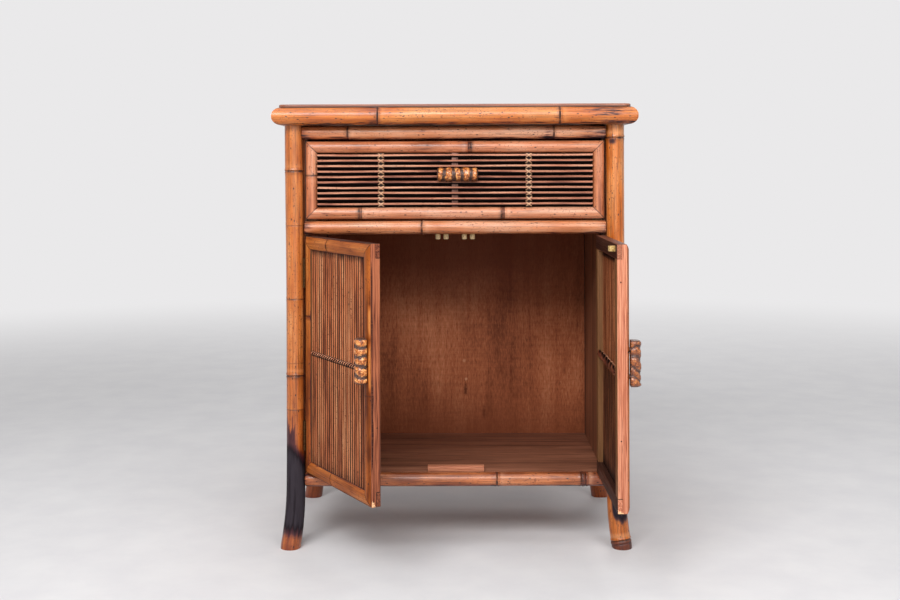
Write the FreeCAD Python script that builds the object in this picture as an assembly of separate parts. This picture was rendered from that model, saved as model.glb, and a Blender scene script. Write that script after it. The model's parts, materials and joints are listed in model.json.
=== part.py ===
import FreeCAD, Part
import math
import os

# Bamboo and cane cabinet with one drawer over two doors, in millimetres.
# The origin is on the floor at the centre of the four feet, +Z is up and the front faces -Y.
# Doors are drawn closed and then swung to their resting angles.

Vec = FreeCAD.Vector
UP = Vec(0, 0, 1)

# Posts and feet
post_inset_x = 34.2
post_inset_y = 40.0
post_diameter = 30.5
post_height = 711.5
foot_curve_height = 100.0
foot_splay = 8.5

# Rails between the posts
apron_drop = 12.6
apron_diameter = 21.8
divider_drop = 160.4
divider_diameter = 22.4
bottom_rail_height = 113.0
bottom_rail_diameter = 23.2
side_rail_diameter = 22.4
rear_rail_diameter = 22.4
rear_rail_drop = 24.0
rail_end_ease = 2.5
tenon_diameter = 10.0
tenon_length = 8.0

# Rings of the bamboo nodes
ring_rise = 0.7
ring_dip = 0.5
ring_reach = 3.0

# Top rim, boards and sheet
top_width = 610.0
top_depth = 391.0
top_pole_diameter = 29.8
crown_flat = 0.6
top_sheet_thickness = 5.3
top_sheet_margin = 10.0
top_sheet_corner = 14.0
top_cleat_height = 10.0
top_cleat_width = 22.0

# Walls and floor of the case
side_panel_thickness = 5.0
side_reed_diameter = 8.0
back_panel_thickness = 4.0
back_panel_setback = 6.0
bottom_board_thickness = 12.0
bottom_board_drop = 2.1
bottom_cleat_size = 12.0
door_stop_length = 96.0
door_stop_height = 9.5
door_stop_depth = 12.0

# Doors
door_face_lead = 6.5
door_thickness = 15.5
door_hinge_gap = 2.95
door_meeting_gap = 2.0
door_rail_gap = 2.2
door_member_width = 22.0
door_rabbet = 4.0
door_trim_width = 20.8
door_trim_height = 3.8
door_reed_diameter = 7.8
door_reed_sink = 0.3
lash_height_share = 0.5127
left_door_angle = 60.1
right_door_angle = 90.7

# Hinges
hinge_length = 50.0
hinge_end_distance = 62.0
hinge_pin_diameter = 2.4
knuckle_diameter = 5.2
hinge_pin_proud = 2.0
leaf_thickness = 1.1
leaf_depth = 15.0
knuckle_gap = 0.25
hinge_screw_spacing = 30.0
hinge_screw_diameter = 2.8
hinge_screw_length = 10.0
hinge_screw_head_diameter = 4.8
hinge_screw_head_height = 0.6

# Drawer
drawer_front_gap = 3.45
drawer_board_thickness = 12.0
drawer_face_lead = 1.5
drawer_trim_width = 20.0
drawer_trim_height = 10.0
rod_diameter = 5.4
rod_count = 10
slat_thickness = 3.0
middle_slat_width = 10.4
lash_slat_width = 4.5
lash_offset_share = 0.4938
lash_width = 11.0
lash_strand_diameter = 1.3
lash_bend_radius = 1.1
drawer_side_thickness = 11.0
drawer_head_room = 43.6
drawer_side_gap = 2.5
drawer_back_drop = 5.0
drawer_bottom_thickness = 4.0
drawer_bottom_lift = 8.0
drawer_groove_depth = 5.0
drawer_tail_gap = 1.0
runner_height = 10.0
runner_width = 15.0
kicker_gap = 2.0

# Bamboo-root handles
handle_length = 69.0
handle_depth = 16.0
drawer_handle_width = 24.7
door_handle_width = 22.0
handle_offset = 4.4
handle_groove = 1.8
handle_height_share = 0.5554
handle_standoff = 2.1
handle_boss_diameter = 7.0
handle_screw_spacing = 40.0
handle_screw_diameter = 3.4
handle_screw_head_diameter = 7.0
handle_screw_head_height = 2.0
handle_screw_bite = 9.0

# Catches and strikes
batten_height = 17.0
batten_depth = 18.0
batten_clearance = 2.9
catch_offset = 22.5
catch_plate_thickness = 1.2
catch_plate_width = 26.0
catch_plate_depth = 16.0
roller_diameter = 8.7
roller_gap = 5.2
roller_length = 9.0
roller_reach = 9.0
roller_travel = 1.5
roller_stem_diameter = 2.8
roller_head_diameter = 4.4
roller_head_height = 1.2
strike_height = 8.2
strike_drop = 2.9
strike_width = 10.0
strike_plate_thickness = 1.0
strike_tongue_width = 4.2
strike_tongue_length = 10.0
strike_stem_diameter = 3.0
strike_stem_length = 7.0

# Twisted cane lashing across the reeds
twist_pitch = 16.0
twist_radius = 1.7
twist_strand_diameter = 2.6

# Clearances
fit_clearance = 0.05
seat_gap = 0.1
run_gap = 0.3
overrun = 5.0

# Places worked out from the sizes above
post_x = top_width / 2 - post_inset_x
post_y = top_depth / 2 - post_inset_y
post_radius = post_diameter / 2
front_y = -post_y
opening_x = post_x - post_radius
ring_room = ring_rise + seat_gap
apron_height = post_height - apron_drop
divider_height = apron_height - divider_drop
pole_z = post_height + top_pole_diameter / 2
crown_z = post_height + top_pole_diameter - crown_flat
pole_x = (top_width - top_pole_diameter) / 2
pole_y = (top_depth - top_pole_diameter) / 2
panel_outer_x = opening_x - ring_room
panel_inner_x = panel_outer_x - side_panel_thickness
panel_front_y = front_y + door_thickness - door_face_lead + 2 * run_gap + door_meeting_gap
back_inner_y = post_y + back_panel_setback
board_top_z = bottom_rail_height + bottom_rail_diameter / 2 - bottom_board_drop
board_low_z = board_top_z - bottom_board_thickness
board_front_y = front_y + bottom_rail_diameter / 2 + ring_room
rear_rail_y = back_inner_y - rear_rail_diameter / 2 - ring_room
side_rail_x = panel_outer_x + side_rail_diameter / 2 + ring_room
door_x0 = door_meeting_gap / 2
door_x1 = opening_x - door_hinge_gap
door_z0 = bottom_rail_height + bottom_rail_diameter / 2 + door_rail_gap
door_z1 = divider_height - divider_diameter / 2 - door_rail_gap
lash_height = door_z0 + lash_height_share * (door_z1 - door_z0)
handle_height = door_z0 + handle_height_share * (door_z1 - door_z0)
door_y0 = front_y - door_face_lead
door_y1 = door_y0 + door_thickness
pin_x = door_x1 + knuckle_diameter / 2 - leaf_thickness + run_gap
pin_y = door_y0 - hinge_pin_proud
hinge_heights = (door_z0 + hinge_end_distance, door_z1 - hinge_end_distance)
batten_y0 = front_y + divider_diameter / 2 + ring_room
batten_z0 = door_z1 + batten_clearance
batten_z1 = batten_z0 + batten_height
runner_z1 = batten_z1 + runner_height
drawer_y0 = front_y - drawer_face_lead
drawer_x1 = opening_x - drawer_front_gap
lash_offset = lash_offset_share * drawer_x1
drawer_z0 = divider_height + divider_diameter / 2 + drawer_front_gap
drawer_z1 = apron_height - apron_diameter / 2 - drawer_front_gap
drawer_low_z = runner_z1 + run_gap
drawer_top_z = apron_height - drawer_head_room
roller_offset = (roller_gap + roller_diameter) / 2
roller_y = door_y1 + roller_reach

# Places of the node rings along each pole, as shares of its length
left_post_ring_shares = (0.267, 0.408, 0.589, 0.892)
right_post_ring_shares = (0.31, 0.52, 0.969)
rear_post_ring_shares = (0.24, 0.47, 0.81)
apron_ring_shares = (0.146, 0.828)
divider_ring_shares = (0.39,)
bottom_rail_ring_shares = (0.636, 0.915, 0.929)
side_rail_ring_shares = (0.34, 0.78)
rear_rail_ring_shares = (0.3, 0.72)
front_pole_ring_shares = (0.29, 0.787)
rear_pole_ring_shares = (0.22, 0.61)
side_pole_ring_shares = (0.43, 0.76)

# Widths of the rings of a bamboo-root handle, as shares of its length
handle_ring_shares = (0.17, 0.23, 0.2, 0.22, 0.18)


# Basic solids

def block(x0, x1, y0, y1, z0, z1):
    return Part.makeBox(x1 - x0, y1 - y0, z1 - z0, Vec(x0, y0, z0))


def bar(start, end, diameter):
    run = end - start
    return Part.makeCylinder(diameter / 2, run.Length, start, run)


def laid_along(shape, start, direction):
    shape.Placement = FreeCAD.Placement(start, FreeCAD.Rotation(UP, direction))
    return shape


def prism(corners, sweep):
    return Part.Face(Part.makePolygon(corners + corners[:1])).extrude(sweep)


def mirrored(shape):
    return shape.mirror(Vec(0, 0, 0), Vec(1, 0, 0))


def both_sides(shape):
    return [shape, mirrored(shape)]


def group(shapes):
    return Part.makeCompound(shapes)


def screw(tip_start, direction, length, diameter, head_diameter, head_height, play=0.0):
    end = tip_start + direction * (length + play)
    neck = tip_start + direction * head_height
    head = bar(tip_start, neck, head_diameter + 2 * play)
    return head.fuse(bar(tip_start, end, diameter + 2 * play)).removeSplitter()


# Bamboo poles

def end_points(radius, level, inward, ease, tenon):
    # Outline points of one end, from the axis outward; inward is +1 at the foot and -1 at the head.
    points = [Vec(0, 0, level - inward * tenon)]
    if tenon > 0:
        points.append(Vec(tenon_diameter / 2, 0, level - inward * tenon))
        points.append(Vec(tenon_diameter / 2, 0, level))
    if ease > 0:
        points.append(Vec(radius - ease, 0, level))
    points.append(Vec(radius, 0, level + inward * ease))
    return points


def ring_points(radius, level):
    return [Vec(radius, 0, level - ring_reach),
            Vec(radius + ring_rise, 0, level - ring_reach / 2),
            Vec(radius - ring_dip, 0, level),
            Vec(radius + ring_rise / 2, 0, level + ring_reach / 2),
            Vec(radius, 0, level + ring_reach)]


def pole_outline(radius, length, ring_shares, ease, tenon):
    points = end_points(radius, 0, 1, ease, tenon)
    for share in ring_shares:
        points += ring_points(radius, share * length)
    points += reversed(end_points(radius, length, -1, ease, tenon))
    return Part.Face(Part.makePolygon(points + points[:1]))


def bamboo(start, end, diameter, ring_shares, ease=rail_end_ease, tenon=0.0):
    run = end - start
    face = pole_outline(diameter / 2, run.Length, ring_shares, ease, tenon)
    return laid_along(face.revolve(Vec(0, 0, 0), UP, 360), start, run)


def curved_foot(x, y):
    # The leg bends outward on a circle that starts upright at the top of the curve.
    shift = foot_splay * math.sqrt(2)
    radius = (foot_curve_height ** 2 + shift ** 2) / (2 * shift)
    outward = Vec(math.copysign(1, x), math.copysign(1, y), 0).normalize()
    bend_start = Vec(x, y, foot_curve_height)
    centre = bend_start + outward * radius
    ring = Part.Wire(Part.makeCircle(post_radius, bend_start, UP))
    ring.rotate(bend_start, UP, math.degrees(math.atan2(outward.y, outward.x)))
    turn = math.asin(foot_curve_height / radius) + post_radius / radius
    bend = Part.Face(ring).revolve(centre, outward.cross(UP), math.degrees(turn))
    reach = 2 * post_diameter
    below = block(x - reach, x + reach, y - reach, y + reach, -reach, 0)
    return bend.cut(below)


def post(side, end, ring_shares, cuts):
    x = side * post_x
    y = end * post_y
    shares = [(share * post_height - foot_curve_height) / (post_height - foot_curve_height)
              for share in ring_shares]
    shaft = bamboo(Vec(x, y, foot_curve_height), Vec(x, y, post_height), post_diameter, shares, 0.0)
    return shaft.fuse(curved_foot(x, y)).cut(group(cuts)).removeSplitter()


def tenon_holes(rail_start, rail_end):
    direction = (rail_end - rail_start).normalize()
    bore = tenon_diameter + 2 * fit_clearance
    depth = tenon_length + seat_gap
    near = bar(rail_start + direction * overrun, rail_start - direction * depth, bore)
    far = bar(rail_end - direction * overrun, rail_end + direction * depth, bore)
    return [near, far]


# Rails

def cross_rail_ends(y, z):
    x = opening_x - ring_room
    return Vec(-x, y, z), Vec(x, y, z)


def side_rail_ends(z):
    y = post_y - post_radius - ring_room
    return Vec(side_rail_x, -y, z), Vec(side_rail_x, y, z)


rear_low_z = board_low_z - rear_rail_diameter / 2 - ring_room
rear_high_z = apron_height - rear_rail_drop
apron_ends = cross_rail_ends(front_y, apron_height)
divider_ends = cross_rail_ends(front_y, divider_height)
bottom_rail_ends = cross_rail_ends(front_y, bottom_rail_height)
rear_rail_ends = [cross_rail_ends(rear_rail_y, z) for z in (rear_low_z, rear_high_z)]
side_rail_levels = (bottom_rail_height, divider_height, apron_height)
side_rail_all_ends = [side_rail_ends(z) for z in side_rail_levels]


def tenoned(ends, diameter, ring_shares):
    return bamboo(ends[0], ends[1], diameter, ring_shares, rail_end_ease, tenon_length)


def side_rails():
    return group([tenoned(ends, side_rail_diameter, side_rail_ring_shares) for ends in side_rail_all_ends])


def rear_rails():
    return group([tenoned(ends, rear_rail_diameter, rear_rail_ring_shares) for ends in rear_rail_ends])


def post_cuts():
    cuts = []
    for ends in [apron_ends, divider_ends, bottom_rail_ends] + rear_rail_ends:
        cuts += tenon_holes(ends[0], ends[1])
    for ends in side_rail_all_ends:
        for hole in tenon_holes(ends[0], ends[1]):
            cuts += both_sides(hole)
    for level in hinge_heights:
        cuts += both_sides(hinge_seat(level))
        for shape in post_leaf_screws(level, fit_clearance):
            cuts += both_sides(shape)
    return cuts


# Top rim and boards

def mitred_pole(start, end, inward, ring_shares):
    pole = bamboo(start, end, top_pole_diameter, ring_shares, 0.0)
    half = top_pole_diameter / 2
    run = (end - start).normalize()
    outer_start = start - inward * half
    outer_end = end - inward * half
    depth = top_pole_diameter + overrun
    grow = run * overrun
    corners = [outer_start - inward * overrun - grow,
               outer_end - inward * overrun + grow,
               outer_end + inward * depth - run * depth,
               outer_start + inward * depth + run * depth]
    wedge = prism([point - UP * top_pole_diameter for point in corners], UP * 2 * top_pole_diameter)
    reach_x = top_width
    reach_y = top_depth
    shaved = block(-reach_x, reach_x, -reach_y, reach_y, crown_z, crown_z + top_pole_diameter)
    return pole.common(wedge).cut(shaved)


def top_poles():
    half = top_pole_diameter / 2
    right = pole_x + half
    back = pole_y + half
    front = mitred_pole(Vec(-right, -pole_y, pole_z), Vec(right, -pole_y, pole_z),
                        Vec(0, 1, 0), front_pole_ring_shares)
    rear = mitred_pole(Vec(-right, pole_y, pole_z), Vec(right, pole_y, pole_z),
                       Vec(0, -1, 0), rear_pole_ring_shares)
    side = mitred_pole(Vec(pole_x, -back, pole_z), Vec(pole_x, back, pole_z),
                       Vec(-1, 0, 0), side_pole_ring_shares)
    return front, rear, side


def top_sheet():
    x = top_width / 2 - top_sheet_margin
    y = top_depth / 2 - top_sheet_margin
    sheet = block(-x, x, -y, y, crown_z, crown_z + top_sheet_thickness)
    corners = [edge for edge in sheet.Edges if abs(edge.tangentAt(edge.FirstParameter).z) == 1]
    return sheet.makeFillet(top_sheet_corner, corners)


def top_board():
    x = pole_x - top_pole_diameter / 2 - ring_room
    y = pole_y - top_pole_diameter / 2 - ring_room
    return block(-x, x, -y, y, post_height + top_cleat_height, crown_z)


def top_cleat():
    x = pole_x - top_pole_diameter / 2 - ring_room
    y = pole_y - top_pole_diameter / 2 - ring_room
    return block(x - top_cleat_width, x, -y, y, post_height, post_height + top_cleat_height)


# Walls and floor of the case

def side_panel():
    # Notched at the back where the rear rails pass.
    panel = block(panel_inner_x, panel_outer_x, panel_front_y, back_inner_y, rear_low_z, post_height)
    room = rear_rail_diameter / 2 + ring_room
    for level in (rear_low_z, rear_high_z):
        panel = panel.cut(block(panel_inner_x - overrun, panel_outer_x + overrun, rear_rail_y - room,
                                back_inner_y + overrun, level - room, level + room))
    return panel


def side_reeds():
    x = panel_outer_x + side_reed_diameter / 2
    inset = post_x - panel_outer_x - side_reed_diameter
    clear_y = post_y - math.sqrt((post_radius + ring_rise) ** 2 - inset ** 2) - run_gap
    count = int(2 * clear_y / (side_reed_diameter + seat_gap))
    pitch = 2 * clear_y / count
    room = side_rail_diameter / 2 + ring_room
    reeds = []
    for low, high in zip(side_rail_levels, side_rail_levels[1:]):
        for number in range(count):
            y = -clear_y + (number + 0.5) * pitch
            reeds.append(bar(Vec(x, y, low + room), Vec(x, y, high - room), side_reed_diameter))
    return group(reeds)


def back_panel():
    offset = back_panel_setback
    x = post_x - math.sqrt((post_radius + ring_rise) ** 2 - offset ** 2) - seat_gap
    return block(-x, x, back_inner_y, back_inner_y + back_panel_thickness, rear_low_z, post_height)


def bottom_board():
    x = panel_inner_x - seat_gap
    return block(-x, x, board_front_y, back_inner_y - seat_gap, board_low_z, board_top_z)


def bottom_cleat():
    x = panel_inner_x
    y1 = rear_rail_y - rear_rail_diameter / 2 - ring_room
    return block(x - bottom_cleat_size, x, board_front_y, y1, board_low_z - bottom_cleat_size, board_low_z)


def door_stop():
    x = door_stop_length / 2
    y1 = board_front_y + door_stop_depth
    return block(-x, x, board_front_y, y1, board_top_z, board_top_z + door_stop_height)


def drawer_runners():
    x = panel_inner_x
    y1 = back_inner_y
    runner = block(x - runner_width, x, batten_y0, y1, batten_z1, runner_z1)
    kicker_z = drawer_top_z + kicker_gap
    kicker = block(x - runner_width, x, batten_y0, rear_rail_y - rear_rail_diameter / 2 - ring_room,
                   kicker_z, kicker_z + runner_height)
    return group(both_sides(runner) + both_sides(kicker))


# Hinges

def hinge_seat(level):
    half = hinge_length / 2 + seat_gap
    x = pin_x + knuckle_diameter / 2
    return block(opening_x - overrun, x, front_y - post_radius, front_y + post_radius,
                 level - half, level + half)


def leaf_hole_levels(level):
    return (level - hinge_screw_spacing / 2, level + hinge_screw_spacing / 2)


def post_leaf_screws(level, play=0.0):
    x = pin_x + knuckle_diameter / 2 - leaf_thickness
    return [screw(Vec(x, front_y, z), Vec(1, 0, 0), hinge_screw_length, hinge_screw_diameter,
                  hinge_screw_head_diameter, hinge_screw_head_height, play)
            for z in leaf_hole_levels(level)]


def door_leaf_screws(level, play=0.0):
    return [screw(Vec(door_x1, front_y, z), Vec(-1, 0, 0), hinge_screw_length, hinge_screw_diameter,
                  hinge_screw_head_diameter, hinge_screw_head_height, play)
            for z in leaf_hole_levels(level)]


def knuckle(z0, z1, bore):
    tube = bar(Vec(pin_x, pin_y, z0), Vec(pin_x, pin_y, z1), knuckle_diameter)
    hole = bar(Vec(pin_x, pin_y, z0 - overrun), Vec(pin_x, pin_y, z1 + overrun), bore)
    return tube, hole


def knuckle_levels(level):
    third = hinge_length / 3
    low = level - hinge_length / 2
    return [(low + number * third + knuckle_gap / 2, low + (number + 1) * third - knuckle_gap / 2)
            for number in range(3)]


def post_leaf(level):
    x1 = pin_x + knuckle_diameter / 2
    half = hinge_length / 2 - knuckle_gap / 2
    plate = block(x1 - leaf_thickness, x1, pin_y, pin_y + leaf_depth, level - half, level + half)
    low, middle, high = knuckle_levels(level)
    gap = block(x1 - knuckle_diameter, x1, pin_y - knuckle_diameter, pin_y + knuckle_diameter / 2 + run_gap,
                middle[0] - knuckle_gap, middle[1] + knuckle_gap)
    leaf = plate.cut(gap)
    for z0, z1 in (low, high):
        tube, hole = knuckle(z0, z1, hinge_pin_diameter + fit_clearance)
        leaf = leaf.fuse(tube).cut(hole)
    return leaf.cut(group(post_leaf_screws(level, fit_clearance))).removeSplitter()


def door_leaf(level):
    half = hinge_length / 2 - knuckle_gap / 2
    plate = block(door_x1 - leaf_thickness, door_x1, pin_y, pin_y + leaf_depth, level - half, level + half)
    low, middle, high = knuckle_levels(level)
    leaf = plate
    for z0, z1 in (low, high):
        leaf = leaf.cut(block(door_x1 - knuckle_diameter, door_x1 + knuckle_diameter,
                              pin_y - knuckle_diameter, pin_y + knuckle_diameter / 2 + run_gap,
                              z0 - knuckle_gap, z1 + knuckle_gap))
    tube, hole = knuckle(middle[0], middle[1], hinge_pin_diameter + 2 * fit_clearance)
    leaf = leaf.fuse(tube).cut(hole)
    return leaf.cut(group(door_leaf_screws(level, fit_clearance))).removeSplitter()


def hinge_pin(level):
    half = hinge_length / 2
    return bar(Vec(pin_x, pin_y, level - half), Vec(pin_x, pin_y, level + half), hinge_pin_diameter)


def door_edge_cuts():
    cuts = []
    room = knuckle_diameter + 2 * run_gap
    for level in hinge_heights:
        half = hinge_length / 2 + seat_gap
        cuts.append(block(door_x1 - leaf_thickness, door_x1 + overrun, pin_y, pin_y + leaf_depth + seat_gap,
                          level - half, level + half))
        cuts.append(bar(Vec(pin_x, pin_y, level - half), Vec(pin_x, pin_y, level + half), room))
        cuts += door_leaf_screws(level, fit_clearance)
    return cuts


# Doors, drawn for the right-hand side

def door_stiles():
    w = door_member_width
    middle = door_y0 + door_thickness / 2
    rabbet_y = door_y0 + door_reed_sink + door_reed_diameter + seat_gap
    rabbet = block(door_x0 + w - door_rabbet, door_x1 - w + door_rabbet, door_y0 - overrun, rabbet_y,
                   door_z0 + w - door_rabbet, door_z1 - w + door_rabbet)
    cuts = [rabbet] + door_edge_cuts() + handle_screws(fit_clearance)
    stiles = []
    for x in (door_x0, door_x1 - w):
        stile = block(x, x + w, door_y0, door_y1, door_z0, door_z1)
        for z in (door_z0, door_z1 - w):
            stile = stile.cut(block(x, x + w, middle, door_y1, z, z + w))
        stiles.append(stile.cut(group(cuts)))
    return stiles


def door_rails():
    w = door_member_width
    middle = door_y0 + door_thickness / 2
    rabbet_y = door_y0 + door_reed_sink + door_reed_diameter + seat_gap
    rabbet = block(door_x0 + w - door_rabbet, door_x1 - w + door_rabbet, door_y0 - overrun, rabbet_y,
                   door_z0 + w - door_rabbet, door_z1 - w + door_rabbet)
    cuts = [rabbet, strike_stem(fit_clearance)]
    rails = []
    for z in (door_z0, door_z1 - w):
        rail = block(door_x0, door_x1, door_y0, door_y1, z, z + w)
        for x in (door_x0, door_x1 - w):
            rail = rail.cut(block(x, x + w, door_y0, middle, z, z + w))
        rails.append(rail.cut(group(cuts)))
    return rails


def trim_strip(a, b, across, out, width, height):
    # Half-split bamboo from corner a to corner b, its outer edge on that line, mitred at both ends.
    run = b - a
    along = Vec(run).normalize()
    crown = a + across * width / 2 + out * height
    arc = Part.Arc(a, crown, a + across * width).toShape()
    base = Part.LineSegment(a + across * width, a).toShape()
    strip = Part.Face(Part.Wire([arc, base])).extrude(run)
    corners = [a, b, b + across * width - along * width, a + across * width + along * width]
    return strip.common(prism([point - out * overrun for point in corners], out * (2 * overrun + height)))


def trim_frame(x0, x1, y, z0, z1, width, height):
    out = Vec(0, -1, 0)
    corners = [Vec(x0, y, z0), Vec(x1, y, z0), Vec(x1, y, z1), Vec(x0, y, z1)]
    inward = [Vec(0, 0, 1), Vec(-1, 0, 0), Vec(0, 0, -1), Vec(1, 0, 0)]
    return [trim_strip(corners[n], corners[(n + 1) % 4], inward[n], out, width, height) for n in range(4)]


def door_trim():
    margin = door_member_width - door_trim_width
    strips = trim_frame(door_x0 + margin, door_x1 - margin, door_y0, door_z0 + margin, door_z1 - margin,
                        door_trim_width, door_trim_height)
    holes = group(handle_screws(fit_clearance))
    return [strip.cut(holes) for strip in strips]


def door_reeds():
    edge = door_member_width - door_rabbet + seat_gap
    span = door_x1 - door_x0 - 2 * edge
    count = int(span / (door_reed_diameter + seat_gap))
    pitch = span / count
    y = door_y0 + door_reed_sink + door_reed_diameter / 2
    reeds = []
    for number in range(count):
        x = door_x0 + edge + (number + 0.5) * pitch
        reeds.append(bar(Vec(x, y, door_z0 + edge), Vec(x, y, door_z1 - edge), door_reed_diameter))
    return reeds


def strike_place():
    return Vec(catch_offset, door_y1, door_z1 - strike_drop - strike_height / 2)


def strike_stem(play=0.0):
    place = strike_place()
    return bar(place, place - Vec(0, strike_stem_length + play, 0), strike_stem_diameter + 2 * play)


def door_strike():
    place = strike_place()
    half = strike_height / 2
    plate = block(place.x - strike_width / 2, place.x + strike_width / 2,
                  place.y, place.y + strike_plate_thickness, place.z - half, place.z + half)
    side = strike_tongue_width / 2
    shoulder = place.y + strike_tongue_length - side
    corners = [Vec(place.x - side, place.y, place.z - half),
               Vec(place.x + side, place.y, place.z - half),
               Vec(place.x + side, shoulder, place.z - half),
               Vec(place.x, shoulder + side, place.z - half),
               Vec(place.x - side, shoulder, place.z - half)]
    tongue = prism(corners, UP * strike_height)
    return plate.fuse(tongue).fuse(strike_stem()).removeSplitter()


# Bamboo-root handles

def root_outline(width):
    radius = width / 2
    edges = []
    level = 0.0
    start = Vec(0, 0, 0)
    point = Vec(radius - handle_groove, 0, 0)
    edges.append(Part.LineSegment(start, point).toShape())
    for share in handle_ring_shares:
        tall = share * handle_length
        crest = Vec(radius, 0, level + tall / 2)
        end = Vec(radius - handle_groove, 0, level + tall)
        edges.append(Part.Arc(point, crest, end).toShape())
        level += tall
        point = end
    top = Vec(0, 0, level)
    edges.append(Part.LineSegment(point, top).toShape())
    edges.append(Part.LineSegment(top, start).toShape())
    return Part.Face(Part.Wire(edges))


def root_handle(centre, along, width, screws, boss_length):
    # The back is sawn flat; the centre given lies on that flat back.
    axis_out = handle_depth - width / 2
    start = centre - along * (handle_length / 2) - Vec(0, axis_out, 0)
    body = laid_along(root_outline(width).revolve(Vec(0, 0, 0), UP, 360), start, along)
    reach = handle_length
    back = block(centre.x - reach, centre.x + reach, centre.y, centre.y + width,
                 centre.z - reach, centre.z + reach)
    handle = body.cut(back)
    if boss_length > 0:
        for sign in (-1, 1):
            foot = centre + along * (sign * handle_screw_spacing / 2)
            inside = foot - Vec(0, handle_groove, 0)
            handle = handle.fuse(bar(inside, foot + Vec(0, boss_length, 0), handle_boss_diameter))
    return handle.cut(group(screws)).removeSplitter()


def door_handle_centre():
    x = door_x0 + door_member_width - door_trim_width / 2
    return Vec(x, door_y0 - door_trim_height - handle_standoff, handle_height)


def handle_screws(play=0.0):
    # The heads are let into the inner face of the stile.
    centre = door_handle_centre()
    length = door_y1 - centre.y + handle_screw_bite
    return [screw(Vec(centre.x, door_y1, centre.z + sign * handle_screw_spacing / 2), Vec(0, -1, 0), length,
                  handle_screw_diameter, handle_screw_head_diameter, handle_screw_head_height, play)
            for sign in (-1, 1)]


def door_handle():
    return root_handle(door_handle_centre(), UP, door_handle_width, handle_screws(fit_clearance),
                       handle_standoff)


# Cane windings

def bow(start, tangent, end):
    # Arc that leaves start along tangent and reaches end.
    chord = end - start
    along = Vec(chord).normalize()
    lean = tangent - along * tangent.dot(along)
    if lean.Length < 1e-6:
        return Part.LineSegment(start, end).toShape()
    angle = math.atan2(lean.Length, tangent.dot(along))
    crest = (start + end) / 2 + lean.normalize() * (chord.Length / 2 * math.tan(angle / 2))
    return Part.Arc(start, crest, end).toShape()


def biarc(start, start_tangent, end, end_tangent):
    run = end - start
    total = start_tangent + end_tangent
    curl = 2 * (1 - start_tangent.dot(end_tangent))
    push = 2 * run.dot(total)
    if curl < 1e-9:
        arm = run.dot(run) / push
    else:
        arm = (math.sqrt(push ** 2 + 4 * curl * run.dot(run)) - push) / (2 * curl)
    joint = (start + start_tangent * arm + end - end_tangent * arm) / 2
    middle_tangent = (end - end_tangent * arm - start - start_tangent * arm).normalize()
    return [bow(start, start_tangent, joint), bow(joint, middle_tangent, end)]


def tube(edges, diameter):
    path = Part.Wire(edges)
    first = edges[0]
    begin = first.FirstParameter
    ring = Part.makeCircle(diameter / 2, first.valueAt(begin), first.tangentAt(begin))
    shell = Part.BRepOffsetAPI.MakePipeShell(path)
    shell.add(Part.Wire(ring))
    shell.build()
    shell.makeSolid()
    return shell.shape()


def least_gap(points, diameter, skip):
    gaps = [(points[i] - points[j]).Length - diameter
            for i in range(len(points)) for j in range(i + skip, len(points))]
    return min(gaps)


def twisted_strand(start, end, phase):
    # One strand of a two-strand twist, on half-turn biarcs, with a straight lead at each end.
    run = end - start
    along = Vec(run).normalize()
    across = UP.cross(along)
    lead = twist_strand_diameter
    length = run.Length - 4 * lead
    halves = max(2, round(2 * length / twist_pitch))
    rate = math.pi * halves / length
    points = []
    tangents = []
    for number in range(halves + 1):
        angle = phase + math.pi * number
        radial = across * math.cos(angle) + UP * math.sin(angle)
        swing = UP * math.cos(angle) - across * math.sin(angle)
        points.append(start + along * (2 * lead + length * number / halves) + radial * twist_radius)
        tangents.append((along + swing * (rate * twist_radius)).normalize())
    head = points[0] - along * lead
    tail = points[-1] + along * lead
    edges = [Part.LineSegment(head - along * lead, head).toShape()]
    edges += biarc(head, along, points[0], tangents[0])
    for number in range(halves):
        edges += biarc(points[number], tangents[number], points[number + 1], tangents[number + 1])
    edges += biarc(points[-1], tangents[-1], tail, along)
    edges.append(Part.LineSegment(tail, tail + along * lead).toShape())
    return tube(edges, twist_strand_diameter), points


def twist(start, end):
    strands = [twisted_strand(start, end, phase) for phase in (0.0, math.pi)]
    gap = least_gap(strands[0][1], twist_strand_diameter, 1)
    print("twist: least gap of a strand to itself", round(gap, 2), "mm")
    return [strand for strand, points in strands]


def twist_lift():
    return twist_radius + twist_strand_diameter / 2 + seat_gap


def door_lashing():
    x0 = door_x0 + door_member_width
    x1 = door_x1 - door_member_width
    y_front = door_y0 + door_reed_sink - twist_lift()
    y_back = door_y0 + door_reed_sink + door_reed_diameter + twist_lift()
    strands = []
    for y in (y_front, y_back):
        strands += twist(Vec(x0, y, lash_height), Vec(x1, y, lash_height))
    return strands


def side_lashing():
    y = post_y - post_radius - ring_room
    x = panel_outer_x + side_reed_diameter + twist_lift()
    return group(twist(Vec(x, -y, lash_height), Vec(x, y, lash_height)))


def zigzag(points, radius, diameter):
    edges = []
    here = points[0]
    for number in range(1, len(points) - 1):
        corner = points[number]
        arriving = (corner - points[number - 1]).normalize()
        leaving = (points[number + 1] - corner).normalize()
        cut = radius * math.tan(arriving.getAngle(leaving) / 2)
        edges.append(Part.LineSegment(here, corner - arriving * cut).toShape())
        edges.append(bow(corner - arriving * cut, arriving, corner + leaving * cut))
        here = corner + leaving * cut
    edges.append(Part.LineSegment(here, points[-1]).toShape())
    return tube(edges, diameter)


# Drawer

def rod_field():
    z0 = drawer_z0 + drawer_trim_width
    z1 = drawer_z1 - drawer_trim_width
    pitch = (z1 - z0) / rod_count
    return z0, z1, pitch


def rod_y():
    return drawer_y0 - slat_thickness - rod_diameter / 2


def drawer_front_board():
    board = block(-drawer_x1, drawer_x1, drawer_y0, drawer_y0 + drawer_board_thickness, drawer_z0, drawer_z1)
    return board.cut(group(drawer_handle_screws(fit_clearance)))


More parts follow.
